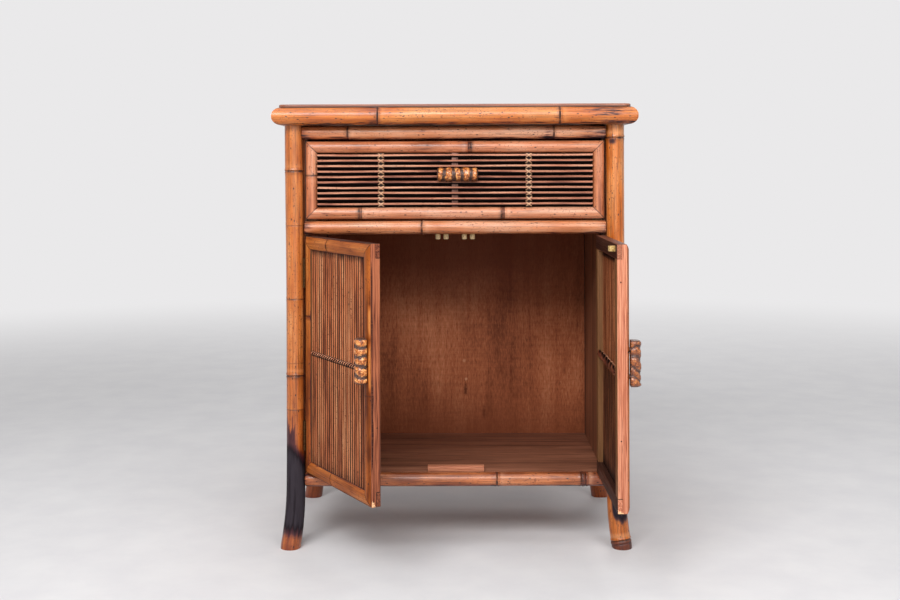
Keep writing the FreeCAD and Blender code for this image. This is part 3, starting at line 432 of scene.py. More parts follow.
def makePiece(node, mesh, body, finish, crease=38.0, place=None, name=None):
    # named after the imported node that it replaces, unless a name is given
    words = node.split("_")
    name = name or words[0] + "".join(word.capitalize() for word in words[1:])
    data = bpy.data.meshes.new(name)
    points = [place @ point for point in mesh["points"]] if place else mesh["points"]
    data.from_pydata(points, [], mesh["faces"])
    for key in ("ring", "soot", "tone"):
        data.attributes.new(key, "FLOAT", "POINT").data.foreach_set("value", mesh[key])
    flat = [value for grain in mesh["grain"] for value in grain]
    data.attributes.new("grain", "FLOAT_VECTOR", "POINT").data.foreach_set("vector", flat)
    shell = bmesh.new()
    shell.from_mesh(data)
    bmesh.ops.recalc_face_normals(shell, faces=shell.faces)
    shell.to_mesh(data)
    shell.free()
    data.shade_smooth()
    data.set_sharp_from_angle(angle=math.radians(crease))
    data.materials.append(finishes[finish])
    piece = bpy.data.objects.new(name, data)
    bpy.context.scene.collection.objects.link(piece)
    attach(piece, body)
    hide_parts(node)


def boxRound(points):
    low = Vector([min(point[axis] for point in points) for axis in range(3)])
    high = Vector([max(point[axis] for point in points) for axis in range(3)])
    return low, high


def solidBoxes(node, place=None):
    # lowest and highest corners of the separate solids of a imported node, ordered by their lowest corners
    back = place.inverted() if place else Matrix.Identity(4)
    data = frame["nodes"][node].data
    spots = {}
    points = []
    index = []
    for vertex in data.vertices:
        key = tuple(round(value, 6) for value in vertex.co)
        if key not in spots:
            spots[key] = len(points)
            points.append(back @ vertex.co)
        index.append(spots[key])
    parent = list(range(len(points)))

    def root(number):
        while parent[number] != number:
            parent[number] = parent[parent[number]]
            number = parent[number]
        return number

    for face in data.polygons:
        first = root(index[face.vertices[0]])
        for corner in face.vertices[1:]:
            parent[root(index[corner])] = first
    groups = {}
    for number, point in enumerate(points):
        groups.setdefault(root(number), []).append(point)
    boxes = [boxRound(group) for group in groups.values()]
    return sorted(boxes, key=lambda box: [round(value, 4) for value in box[0]])


def wholeBox(node, place=None):
    return boxRound([corner for box in solidBoxes(node, place) for corner in box])


# bamboo poles: straight runs with node rings, swelling a little between them

poleLook = dict(
    sides=48, step=0.018, fineStep=0.004, swell=0.011, bend=0.0006, oval=0.008, ringRise=0.0007, tenon=0.008,
    ease=0.0032, easeSteps=5, endMargin=0.002, endDarkReach=0.008,
    # place, width and amount: ridges and groove of a node, then its dark lines and pale band
    ridges=((0.0021, 0.0017, 0.0008), (-0.0024, 0.0018, 0.00048), (0.0, 0.0006, -0.0007)),
    lines=((0.0, 0.0016, 1.0), (0.0036, 0.0008, 0.45), (-0.004, 0.004, 0.25), (0.009, 0.0045, -0.4)),
    ringSteps=(0.0, 0.0003, 0.0006, 0.001, 0.0015, 0.0021, 0.0028, 0.0036, 0.005, 0.008, 0.012))


def ringShape(distance, strength):
    # change of radius and darkness at a distance from the middle of a node
    rise, dark = [sum(amount * peak(distance - place, width) for place, width, amount in poleLook[key])
                  for key in ("ridges", "lines")]
    return strength * rise, strength * dark


def ringsAlong(rings, length, shift=0.0):
    return [(share * length + shift, strength) for share, strength in rings]


def poleStations(length, rings, fineTo=0.0):
    fine = poleLook["fineStep"]
    margin = poleLook["endMargin"]
    levels = [(number + 1) * fine for number in range(round(fineTo / fine))]
    count = max(2, round(length / poleLook["step"]))
    levels += [length * number / count for number in range(count + 1)]
    for place, strength in rings:
        near = [place + sign * step for step in poleLook["ringSteps"] for sign in (-1, 1)]
        levels += [level for level in near if margin < level < length - margin]
    return sorted({round(level, 5) for level in levels})


def poleValues(along, rings, tones, radius, seed):
    # radius, ring darkness and tone at a distance along the pole
    size = radius * (1 + poleLook["swell"] * wander(along * 7.0, seed * 3.7, 0.3))
    dark = 0.0
    for place, strength in rings:
        rise, ring = ringShape(along - place, strength)
        size += rise
        dark += ring
    segment = sum(along > place for place, strength in rings)
    return size, dark, tones[min(segment, len(tones) - 1)]


def addPole(mesh, axis, length, radius, rings, tones, seed, sootAndShadeAt, ease=0.0, reach=None, widen=None, fineTo=0.0):
    # axis gives centre, sideways and upright at a distance along; reach trims each line of the pole at its ends
    shift = seededShift(seed)
    stations = [(level, 0.0) for level in poleStations(length, rings, fineTo) if ease <= level <= length - ease]
    if ease:
        quarter = [math.pi / 2 * step / poleLook["easeSteps"] for step in range(poleLook["easeSteps"])]
        begin = [(ease * (1 - math.cos(turn)), ease * (1 - math.sin(turn))) for turn in quarter]
        stations = begin + stations + [(length - level, drop) for level, drop in reversed(begin)]
    rows = []
    for level, drop in stations:
        size, dark, tone = poleValues(level, rings, tones, radius, seed)
        size *= widen(level) if widen else 1.0
        centre, sideways, upright = axis(level)
        row = []
        for step in range(poleLook["sides"]):
            turn = 2 * math.pi * step / poleLook["sides"]
            across = sideways * math.cos(turn) + upright * math.sin(turn)
            oval = 1 + poleLook["oval"] * math.cos(2 * turn + seed)
            point = centre + across * (size * oval - drop)
            if reach:
                point = reach(point, level)
            grain = Vector((math.cos(turn) * radius, math.sin(turn) * radius, level)) + shift
            row.append(addPoint(mesh, point, grain, dark, sootAndShadeAt(level, turn, length), tone))
        rows.append(row)
    addRows(mesh, rows)


def straightAxis(start, direction, seed):
    sideways = direction.cross(alongZ).normalized()

    def axis(level):
        sway = wander(level * 4.0, seed * 1.9, 7.7) * poleLook["bend"]
        drift = wander(level * 4.0, seed * 2.3, 3.1) * poleLook["bend"]
        return start + direction * level + sideways * sway + alongZ * drift, sideways, alongZ

    return axis


def poleDirtAndShade(leftShare, rightShare, smudges=(), under=0.0):
    # painted shade and dirt towards the ends, painted shade on the underside, smudges at shares of the length:
    # (share, width, strength), with 1 or -1 added for a smudge on the upper or the lower side
    def sootAndShadeAt(level, turn, length):
        reach = poleLook["endDarkReach"]
        soot = leftShare * math.exp(-level / reach) + rightShare * math.exp(-(length - level) / reach)
        # painted shade on the underside
        soot += under * smooth(0.4, 1.0, -math.sin(turn))
        for share, width, strength, *up in smudges:
            facing = 0.35 + 0.65 * smooth(-0.5, 0.7, up[0] * math.sin(turn)) if up else 1.0
            soot += strength * facing * peak(level - share * length, width)
        return soot

    return sootAndShadeAt


# in each rail's darkening, the last number is the painted shade on its underside
railLooks = [
    dict(node="apron_rail", seed=10, rings=((0.146, 1.0), (0.828, 1.0)), tones=(0.0, 0.7, 0.5), grow=0.0045,
         soot=poleDirtAndShade(0.2, 0.24, ((0.81, 0.011, 0.26), (0.97, 0.03, 0.24), (0.07, 0.05, 0.12)), 0.3)),
    dict(node="divider_rail", seed=17, rings=((0.39, 0.9),), tones=(0.2, 0.5),
         soot=poleDirtAndShade(0.2, 0.14, ((0.0, 0.016, 0.16), (0.98, 0.012, 0.12)), 0.26)),
    dict(node="bottom_rail", seed=24, rings=((0.636, 0.9), (0.915, 0.9), (0.929, 1.0)),
         tones=(-0.5, -0.5, -0.9, -1.2),
         soot=poleDirtAndShade(0.36, 0.24, ((0.625, 0.007, 0.2), (0.922, 0.01, 0.24), (0.44, 0.02, 0.08), (0.8, 0.03, 0.08)),
                      0.36)),
    dict(node="rear_rails", seed=31, rings=((0.3, 0.9), (0.72, 0.8)), tones=(-0.2, 0.1, -0.1),
         soot=poleDirtAndShade(0.2, 0.2, (), 0.2)),
    dict(node="side_rails", seed=38, rings=((0.34, 0.9), (0.78, 0.8)), tones=(0.0, 0.2, -0.1),
         soot=poleDirtAndShade(0.2, 0.2, ((0.33, 0.008, 0.16),), 0.2)),
]


def buildRails():
    for look in railLooks:
        mesh = newMesh()
        grow = look.get("grow", 0.0)      # a left end that runs on
        for seed, (low, high) in enumerate(solidBoxes(look["node"]), look["seed"]):
            size = high - low
            way = 0 if size.x > size.y else 1
            start = (low + high) / 2
            start[way] = low[way] + poleLook["tenon"] - grow
            run = size[way] - 2 * poleLook["tenon"]
            axis = straightAxis(start, (alongX, alongY)[way], seed)
            addPole(mesh, axis, run + grow, size.z / 2 - poleLook["ringRise"], ringsAlong(look["rings"], run, grow),
                    look["tones"], seed, look["soot"], poleLook["ease"])
        makePiece(look["node"], mesh, "cabinet", "railCane")


buildRails()
print("rails:", len(railLooks))


# posts: upright poles that bend outward at the foot, the front ones charred there

# left leg: char and drips, darker at the foot, with painted shade down the inner side
leftChar = dict(top=0.163, outerRise=0.023, foot=0.048, fadeBelow=0.034, fadeAbove=0.016, dripFrom=(0.13, 0.16),
                dripEnd=0.2, dripReach=0.032, dripFade=0.012, footFade=(0.03, 0.05),
                amounts=dict(core=0.95, drips=0.46, foot=0.22, inner=0.26))
rightChar = dict(start=0.039, dip=0.01, dipTurn=5.15, dipWidth=0.5, ragged=0.0015, fade=0.028, end=(0.14, 0.18),
                 cleanShare=0.9, footFade=(0.008, 0.0135), smudge=0.684, smudgeWidth=0.006,
                 amounts=dict(core=0.9, foot=0.37, smudge=0.5))
plainFoot = dict(amount=0.22, reach=0.02)
# painted shade under the rim, at the head of each post
headShade = poleDirtAndShade(0.0, 0.16)


def leftLegSootAndShade(level, turn, length):
    look = leftChar
    left = 0.5 - 0.5 * math.cos(turn)        # 1 on the outer side
    top = look["top"] + look["outerRise"] * smooth(0.1, 0.7, left)
    core = smooth(0.0, look["foot"], level) * (1 - smooth(top - look["fadeBelow"], top + look["fadeAbove"], level))
    end = look["dripEnd"] + look["dripReach"] * (0.5 + 0.5 * math.sin(turn * 12 + 2.2 * math.sin(turn * 4)))
    drips = smooth(0.3, 0.55, left) * smooth(*look["dripFrom"], level)
    drips *= 1 - smooth(end - look["dripFade"], end, level)
    # painted shade down the inner side of the post
    inner = smooth(0.7, 1.0, math.cos(turn))
    foot = 1 - smooth(*look["footFade"], level)
    dark = deepest(look["amounts"], core=core, drips=drips, foot=foot, inner=inner)
    return dark + headShade(level, turn, length)


def rightLegSootAndShade(level, turn, length):
    look = rightChar
    inner = smooth(0.38, 0.72, -math.cos(turn))   # the side towards the doors stays clean
    start = look["start"] - look["dip"] * peak(turn - look["dipTurn"], look["dipWidth"])
    start += look["ragged"] * math.sin(turn * 11)
    core = smooth(start, start + look["fade"], level) * (1 - smooth(*look["end"], level))
    core *= 1 - look["cleanShare"] * inner
    foot = 1 - smooth(*look["footFade"], level)
    smudge = peak(level - look["smudge"], look["smudgeWidth"]) * (0.4 + 0.6 * math.sin(turn * 3 + 1.4))
    return deepest(look["amounts"], core=core, foot=foot, smudge=smudge) + headShade(level, turn, length)


def plainSootAndShade(level, turn, length):
    foot = 1 - smooth(0.0, plainFoot["reach"], level)
    return plainFoot["amount"] * foot + headShade(level, turn, length)


rearRings = ((0.24, 0.9), (0.47, 0.8), (0.81, 0.9))
postLooks = [
    dict(node="front_post_left", seed=40, soot=leftLegSootAndShade, lean=-0.002, finish="postCane",
         tones=(-0.5, -0.1, 0.05, 0.0, 0.1, 0.2, 0.3),
         rings=((0.328, 0.35), (0.408, 1.1), (0.438, 0.3), (0.589, 0.45), (0.763, 0.3), (0.892, 1.0))),
    dict(node="front_post_right", seed=41, soot=rightLegSootAndShade, lean=0.0, finish="goldCane",
         tones=(-1.6, -1.2, -0.3, 0.1, 0.15, 0.4),
         rings=((0.0095, 0.6), (0.0185, 1.0), (0.31, 0.9), (0.52, 0.8), (0.969, 1.1))),
    dict(node="rear_post_left", seed=42, soot=plainSootAndShade, lean=0.0, finish="postCane",
         tones=(-1.7, -0.3, 0.0, -0.2), rings=rearRings),
    dict(node="rear_post_right", seed=43, soot=plainSootAndShade, lean=0.0, finish="goldCane",
         tones=(-1.3, 0.1, -0.2, 0.0), rings=rearRings),
]
footLook = dict(curveHeight=0.1, slice=0.0006, flare=0.1, flareTop=0.17, leanFrom=0.42, fineTo=0.24, sole=0.002)


def sliceBox(node, low, high):
    return boxRound([vertex.co for vertex in frame["nodes"][node].data.vertices if low <= vertex.co.z <= high])


def postAxis(node, lean):
    # upright above the foot, on an arc below it; a post may lean sideways a little towards its head
    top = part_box(node)[1].z
    headLow, headHigh = sliceBox(node, top - footLook["slice"], top)
    footLow, footHigh = sliceBox(node, -footLook["slice"], footLook["slice"])
    head = (headLow + headHigh) / 2
    foot = (footLow + footHigh) / 2
    outward = Vector((foot.x - head.x, foot.y - head.y, 0))
    shift = outward.length
    outward.normalize()
    rise = footLook["curveHeight"]
    bendRadius = (rise ** 2 + shift ** 2) / (2 * shift)
    arc = bendRadius * math.asin(rise / bendRadius)

    def axis(level):
        centre = Vector((head.x, head.y, rise + level - arc))
        tilt = 0.0
        if level < arc:
            tilt = (arc - level) / bendRadius
            drop = outward * (bendRadius * (1 - math.cos(tilt)))
            centre = Vector((head.x, head.y, rise - bendRadius * math.sin(tilt))) + drop
        centre.x += lean * smooth(footLook["leanFrom"], top, level)
        tip = Matrix.Rotation(tilt, 3, outward.cross(alongZ))
        return centre, tip @ alongX, tip @ alongY

    return axis, arc + top - rise, (headHigh.x - headLow.x) / 2


def onFloor(point, level):
    return Vector((point.x, point.y, 0.0 if level < footLook["sole"] else max(point.z, 0.0)))


def flaredFoot(level):
    return 1 + footLook["flare"] * (1 - smooth(0.0, footLook["flareTop"], level))


def buildPosts():
    for look in postLooks:
        mesh = newMesh()
        axis, length, radius = postAxis(look["node"], look["lean"])
        addPole(mesh, axis, length, radius, ringsAlong(look["rings"], length), look["tones"], look["seed"],
                look["soot"], 0.0, onFloor, flaredFoot, footLook["fineTo"])
        makePiece(look["node"], mesh, "cabinet", look["finish"])


buildPosts()
print("posts:", len(postLooks))


# top rim: four poles mitred at the corners, shaved flat where the sheet lies on them

# darker towards the mitred ends, painted shade on the underside and a painted shadow line along the crown, where the
# sheet lies on it
rimShadeAndDirt = dict(ends=0.05, under=0.34, seam=0.5)
rimLooks = [
    dict(node="top_front_pole", seed=70, along=alongX, inward=alongY, tones=(0.0, 0.35, 0.1),
         rings=((0.29, 1.0), (0.787, 1.0)),
         smudges=((0.895, 0.03, 0.3, 1), (0.94, 0.018, 0.24, 1), (0.56, 0.03, 0.06), (0.275, 0.012, 0.14),
                  (0.66, 0.02, 0.08, -1))),
    dict(node="top_rear_pole", seed=75, along=alongX, inward=-alongY, tones=(0.1, -0.1, 0.2),
         rings=((0.22, 0.9), (0.61, 1.0)), smudges=((0.1, 0.03, 0.1),)),
    dict(node="top_side_poles", seed=80, along=alongY, inward=alongX, tones=(0.1, 0.25, -0.05),
         rings=((0.43, 0.9), (0.76, 1.0)), smudges=((0.6, 0.02, 0.1),)),
]


def buildRim():
    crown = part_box("top_sheet")[0].z
    for look in rimLooks:
        mesh = newMesh()
        along = look["along"]
        edges = poleDirtAndShade(rimShadeAndDirt["ends"], rimShadeAndDirt["ends"], look["smudges"], rimShadeAndDirt["under"])
        for seed, (low, high) in enumerate(solidBoxes(look["node"]), look["seed"]):
            middle = (low + high) / 2
            inward = -look["inward"] if along.y and middle.x > 0 else look["inward"]
            radius = min(high.x - low.x, high.y - low.y) / 2 - poleLook["ringRise"]
            half = (high - low).dot(along) / 2 - radius
            start = Vector((middle.x, middle.y, low.z + radius + poleLook["ringRise"])) - along * half
            span = 2 * half + 2 * radius

            def mitre(point, level):
                # the first and last rows lie on the mitre, the others stay where they are
                side = (point - start).dot(inward)
                place = (point - start).dot(along)
                moved = point + along * (min(max(place, side), 2 * half - side) - place)
                moved.z = min(moved.z, crown)
                return moved

            def soot(level, turn, length):
                # painted shadow line along the crown, under the edge of the sheet
                return edges(level, turn, length) + rimShadeAndDirt["seam"] * smooth(0.9, 0.99, math.sin(turn))

            axis = straightAxis(start - along * radius, along, seed)
            addPole(mesh, axis, span, radius, ringsAlong(look["rings"], span), look["tones"], seed, soot, 0.0, mitre)
        makePiece(look["node"], mesh, "cabinet", "rimCane")


buildRim()
print("rim:", len(rimLooks))


# boards: blocks and prisms with eased edges

boardEase = dict(width=0.0007, segments=2, profile=0.6, crease=30.0)


def blockSolid(low, high):
    solid = bmesh.new()
    bmesh.ops.create_cube(solid, size=1.0)
    for vertex in solid.verts:
        share = vertex.co + Vector((0.5, 0.5, 0.5))
        vertex.co = Vector([low[axis] + share[axis] * (high[axis] - low[axis]) for axis in range(3)])
    return solid


def prismSolid(corners, sweep):
    solid = bmesh.new()
    face = solid.faces.new([solid.verts.new(corner) for corner in corners])
    grown = bmesh.ops.extrude_face_region(solid, geom=[face])
    for item in grown["geom"]:
        if isinstance(item, bmesh.types.BMVert):
            item.co += sweep
    bmesh.ops.recalc_face_normals(solid, faces=solid.faces)
    return solid


def addBoard(mesh, solid, grainAxis, seed, bare=0.0, soot=0.0, tone=0.0, ease=boardEase["width"]):
    # bare wood, the darkening from char, dirt and painted shade, and tone are numbers, or functions of a place and
    # the way that the board faces there
    bmesh.ops.bevel(solid, geom=list(solid.edges), offset=ease, segments=boardEase["segments"],
                    profile=boardEase["profile"], affect="EDGES", clamp_overlap=True)
    shift = seededShift(seed)
    index = {}
    for vertex in solid.verts:
        facing = max(vertex.link_faces, key=lambda face: face.calc_area()).normal
        values = [value(vertex.co, facing) if callable(value) else value for value in (bare, soot, tone)]
        grain = Vector([vertex.co[axis] for axis in grainOrder[grainAxis]]) + shift
        index[vertex] = addPoint(mesh, vertex.co, grain, *values)
    for face in solid.faces:
        mesh["faces"].append(tuple(index[vertex] for vertex in face.verts))
    solid.free()


boardLooks = [
    dict(node="back_panel", seed=100, body="cabinet", axis="z", finish="backPly", slot="case_board"),
    dict(node="bottom_board", seed=109, body="cabinet", axis="x", finish="floorPly", slot="case_board"),
    dict(node="door_stop", seed=118, body="cabinet", axis="x", finish="stopWood", slot="frame_wood"),
    dict(node="drawer_front_board", seed=127, body="drawer", axis="x", finish="blackBoard", slot="case_board"),
    dict(node="drawer_slats", seed=136, body="drawer", axis="z", finish="slatWood", slot="frame_wood",
         narrow=0.006, black=0.96),                         # slats narrower than this are blackened
    dict(node="drawer_back", seed=145, body="drawer", axis="x", finish="drawerWood", slot="frame_wood"),
]


def buildBoards():
    for look in boardLooks:
        mesh = newMesh()
        for seed, (low, high) in enumerate(solidBoxes(look["node"]), look["seed"]):
            black = look["black"] if high.x - low.x < look.get("narrow", 0.0) else 0.0
            addBoard(mesh, blockSolid(low, high), look["axis"], seed, soot=black)
        makePiece(look["node"], mesh, look["body"], look["finish"], boardEase["crease"])


buildBoards()
print("boards:", len(boardLooks))


# thin sheet on the top, with round corners and a soft upper edge

sheetLook = dict(seed=150, corner=0.014, cornerSteps=8, edge=0.0016, edgeSteps=3, edgeDark=0.12,
                 seam=((0.0, 0.9), (0.0013, 0.8), (0.0022, 0.16)))      # height and painted shadow along the foot of the edge, where the sheet lies on the rim


def buildTopSheet():
    low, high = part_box("top_sheet")
    corner = sheetLook["corner"]
    steps = sheetLook["cornerSteps"]
    edge = sheetLook["edge"]
    centres = [(high.x - corner, high.y - corner), (low.x + corner, high.y - corner),
               (low.x + corner, low.y + corner), (high.x - corner, low.y + corner)]
    outline = [(x, y, math.pi * (0.5 * number + 0.5 * step / steps))
               for number, (x, y) in enumerate(centres) for step in range(steps + 1)]
    # painted shadow along the foot of the edge, and a darker rounded upper edge
    levels = [(low.z + height, 0.0, grime) for height, grime in sheetLook["seam"]]
    for step in range(sheetLook["edgeSteps"] + 1):
        turn = math.pi / 2 * step / sheetLook["edgeSteps"]
        levels.append((high.z - edge + edge * math.sin(turn), edge * (1 - math.cos(turn)), sheetLook["edgeDark"]))
    mesh = newMesh()
    shift = seededShift(sheetLook["seed"])
    rows = []
    for level, inset, grime in levels:
        row = []
        for x, y, turn in outline:
            point = Vector((x + math.cos(turn) * (corner - inset), y + math.sin(turn) * (corner - inset), level))
            row.append(addPoint(mesh, point, Vector((point.y, point.z, point.x)) + shift, 0.0, grime))
        rows.append(row)
    addRows(mesh, rows)
    makePiece("top_sheet", mesh, "cabinet", "topWood")


buildTopSheet()
print("top sheet built")


# half-split bamboo strips, mitred into frames

stripLook = dict(profileSteps=14, seam=0.0011, seamRows=(0.0, 1.0, 2.4), seamFade=0.8, mitreMargin=0.004,
                 innerEdgeShade=0.5, outerEdgeShade=0.2, edgeShadeFrom=0.76, wornEdge=(0.08, 0.24), crease=50.0)


def addStrip(mesh, start, end, across, width, height, look, seed):
    length = (end - start).length
    along = (end - start).normalized()
    rings = ringsAlong(look["rings"], length)
    bow = (width ** 2 / 4 + height ** 2) / (2 * height)      # radius of the rounded face
    half = math.pi / 2 if height > width / 2 - 1e-6 else math.asin(min(1.0, width / 2 / bow))
    shift = seededShift(seed)
    seams = [share * stripLook["seam"] for share in stripLook["seamRows"]]
    margin = width + stripLook["mitreMargin"]
    stations = [("start", seam) for seam in seams]
    stations += [("run", level) for level in poleStations(length, rings) if margin < level < length - margin]
    stations += [("end", seam) for seam in reversed(seams)]
    soot = poleDirtAndShade(0.0, 0.0, look.get("smudges", ()))
    rows = []
    for kind, value in stations:
        row = []
        for step in range(stripLook["profileSteps"] + 1):
            turn = -half + 2 * half * step / stripLook["profileSteps"]
            side = width / 2 + bow * math.sin(turn)
            lift = bow * math.cos(turn) - (bow - height)
            level = dict(start=side + value, run=value, end=length - side - value)[kind]
            size, dark, tone = poleValues(level, rings, look["tones"], height, seed)
            if kind != "run":
                dark = max(0.0, 1.0 - stripLook["seamFade"] * value / stripLook["seam"])
            for share, reach, bright in look.get("worn", ()):      # rubbed bright along the outer edge
                rubbed = math.exp(-((level - share * length) / reach) ** 4)
                tone += bright * rubbed * (1 - smooth(*stripLook["wornEdge"], side / width))
            grow = 1.0 if step in (0, stripLook["profileSteps"]) else size / height
            # painted shade along both edges of the strip, where it meets the face behind
            grime = stripLook["innerEdgeShade"] if turn > 0 else stripLook["outerEdgeShade"]
            edge = grime * smooth(stripLook["edgeShadeFrom"], 1.0, abs(turn) / half)
            point = start + along * level + across * side - alongY * (lift * grow)
            grain = Vector((side, lift, level)) + shift
            row.append(addPoint(mesh, point, grain, dark, soot(level, turn, length) + edge, tone))
        rows.append(row)
    addRows(mesh, rows)


def addTrim(mesh, node, place, width, looks, seed):
    # frame of four strips round a node's box seen from the front: bottom, right, top, left
    low, high = wholeBox(node, place)
    outline = ((low.x, low.z), (high.x, low.z), (high.x, high.z), (low.x, high.z))
    corners = [Vector((x, high.y, z)) for x, z in outline]
    for number, inward in enumerate((alongZ, -alongX, -alongZ, alongX)):
        addStrip(mesh, corners[number], corners[(number + 1) % 4], inward, width, high.y - low.y, looks[number],
                 seed + number)


# drawer: trim, rods, crossed lashings, handle and box

drawerTrimLook = dict(seed=200, width=0.02, strips=[
    dict(rings=((0.18, 0.9), (0.188, 0.5), (0.6565, 0.9), (0.665, 0.6)), tones=(0.4, 0.6, 0.6, 0.5, 0.6),
         smudges=((0.661, 0.003, 0.22), (0.184, 0.003, 0.22))),
    dict(rings=(), tones=(-0.15,)),
    dict(rings=((0.447, 0.9), (0.455, 0.8)), tones=(0.1, -0.25, -0.1), smudges=((0.468, 0.012, 0.26),)),
    dict(rings=((0.44, 0.7),), tones=(0.25, -0.15)),
])


def buildDrawerTrim():
    mesh = newMesh()
    addTrim(mesh, "drawer_trim", None, drawerTrimLook["width"], drawerTrimLook["strips"], drawerTrimLook["seed"])
    makePiece("drawer_trim", mesh, "drawer", "splitCane", stripLook["crease"])


strandCrease = 60.0      # degrees, for pieces made of strands


def carried(points, normal):
    # sideways and upright directions along a line of points, turning as little as they can
    frames = []
    for number in range(len(points)):
        ahead = points[min(number + 1, len(points) - 1)] - points[max(number - 1, 0)]
        ahead.normalize()
        normal = (normal - ahead * normal.dot(ahead)).normalized()
        frames.append((ahead.cross(normal), normal.copy()))
    return frames


def addStrand(mesh, points, radius, sides, seed, normal, tone=0.0, soot=0.0, ring=0.0):
    # the darkening, dirt and painted shade alike, is a number, or a function of a place and its distance from the
    # middle of the strand
    shift = seededShift(seed)
    along = 0.0
    rows = []
    for number, (sideways, upright) in enumerate(carried(points, normal)):
        if number:
            along += (points[number] - points[number - 1]).length
        row = []
        for step in range(sides):
            turn = 2 * math.pi * step / sides
            across = sideways * (math.cos(turn) * radius) + upright * (math.sin(turn) * radius)
            point = points[number] + across
            grain = Vector((math.cos(turn) * radius, math.sin(turn) * radius, along)) + shift
            row.append(addPoint(mesh, point, grain, ring, soot(point, across) if callable(soot) else soot, tone))
        rows.append(row)
    addRows(mesh, rows)


rodLook = dict(seed=230, drawSeed=31, sides=18, pieces=40, bow=0.00132, stiffEnd=0.12, tones=(-0.5, 0.6),
               handleShade=0.16, handlePlace=0.02, handleReach=0.06, below=0.8, behind=0.2)


def rodShade(point, across):
    # painted shade below and behind, and a little painted shadow behind the handle
    near = rodLook["handleShade"] * peak(point.x - rodLook["handlePlace"], rodLook["handleReach"])
    below = rodLook["below"] * smooth(-0.15, 0.7, -across.z / across.length)
    return near + below + rodLook["behind"] * smooth(0.4, 1.0, across.y / across.length)


def buildDrawerRods():
    mesh = newMesh()
    draw = random.Random(rodLook["drawSeed"])
    for number, (low, high) in enumerate(solidBoxes("drawer_rods")):
        middle = (low + high) / 2
        points = []
        for step in range(rodLook["pieces"] + 1):
            share = step / rodLook["pieces"]
            x = low.x + (high.x - low.x) * share
            ends = smooth(0.0, rodLook["stiffEnd"], share) * (1 - smooth(1 - rodLook["stiffEnd"], 1.0, share))
            rise = wander(x * 5.0, number * 3.3, 1.7) * rodLook["bow"] * ends
            points.append(Vector((x, middle.y, middle.z + rise)))
        addStrand(mesh, points, (high.z - low.z) / 2, rodLook["sides"], rodLook["seed"] + number, alongZ,
                  draw.uniform(*rodLook["tones"]), rodShade)
    makePiece("drawer_rods", mesh, "drawer", "rodCane", strandCrease)


crossLook = dict(seed=260, strand=0.0007, reach=0.0056, dip=0.0034, layers={-1: 2.3, 1: 1.0}, wander=0.0007, sides=8,
                 stepsPerRod=16, endGap=0.001, tones={-1: 0.3, 1: 0.7}, grime=dict(under=0.42, gap=0.85))


def buildCrossLashings():
    rods = solidBoxes("drawer_rods")
    levels = sorted((low.z + high.z) / 2 for low, high in rods)
    pitch = (levels[-1] - levels[0]) / (len(levels) - 1)
    front = min(low.y for low, high in rods)
    foot = levels[0] - pitch / 2
    head = levels[-1] + pitch / 2
    columns = sorted({round((low.x + high.x) / 2, 3) for low, high in solidBoxes("drawer_lashings")})

    def between(point, across):
        # painted shade on the lower sides of the strands and where they dip into the gaps between the rods
        under = smooth(0.1, 0.8, -across.z / across.length)
        return deepest(crossLook["grime"], under=under, gap=smooth(0.0004, 0.0024, point.y - front))

    mesh = newMesh()
    for number, (column, side) in enumerate((column, side) for column in columns for side in (-1, 1)):
        points = []
        for step in range(len(levels) * crossLook["stepsPerRod"] + 1):
            share = step / crossLook["stepsPerRod"]              # 0.5, 1.5 and so on are the rods
            zigzag = math.asin(math.sin(math.pi * (share - 0.5))) / (math.pi / 2)
            over = abs(math.cos(math.pi * (share - 0.5)))         # 1 over a rod, 0 in a gap
            x = column + side * zigzag * crossLook["reach"]
            x += wander(share * 0.8, column * 40, side * 2.0) * crossLook["wander"]
            y = front - crossLook["strand"] * crossLook["layers"][side] * over + crossLook["dip"] * (1 - over)
            z = foot + share * pitch
            if foot + crossLook["endGap"] < z < head - crossLook["endGap"]:
                points.append(Vector((x, y, z)))
        addStrand(mesh, points, crossLook["strand"], crossLook["sides"], crossLook["seed"] + number, alongY,
                  crossLook["tones"][side], between)
    makePiece("drawer_lashings", mesh, "drawer", "lashCane", strandCrease)


# handles: lengths of bamboo root with a flat sawn back, on the doors with two bosses behind it

handleLook = dict(depth=0.016, groove=0.0013, lump=0.0006, steps=96, sectionSteps=28, endEase=0.0016, endScar=0.003,
                  boss=0.0035, bossSides=16, bossGap=0.04, bossSink=0.0004, crease=50.0,
                  shares=(0.17, 0.23, 0.2, 0.22, 0.18), uneven=0.08, leans=(0.4, 1.0), sizes=(0.94, 1.02),
                  endDark=0.9)
# under is painted shade on the lower side, slant that of the scars, scarFrom where they begin
handleLooks = {
    "drawer": dict(seed=501, along=alongX, across=alongZ, under=0.8, slant=0.04, scarFrom=0.34, finish="rootCane"),
    "left": dict(seed=533, along=alongZ, across=alongX, under=0.0, slant=0.045, scarFrom=0.38, finish="rootCane"),
    "right": dict(seed=547, along=alongZ, across=alongX, under=0.0, slant=0.1, scarFrom=0.45, finish="darkRootCane"),
}


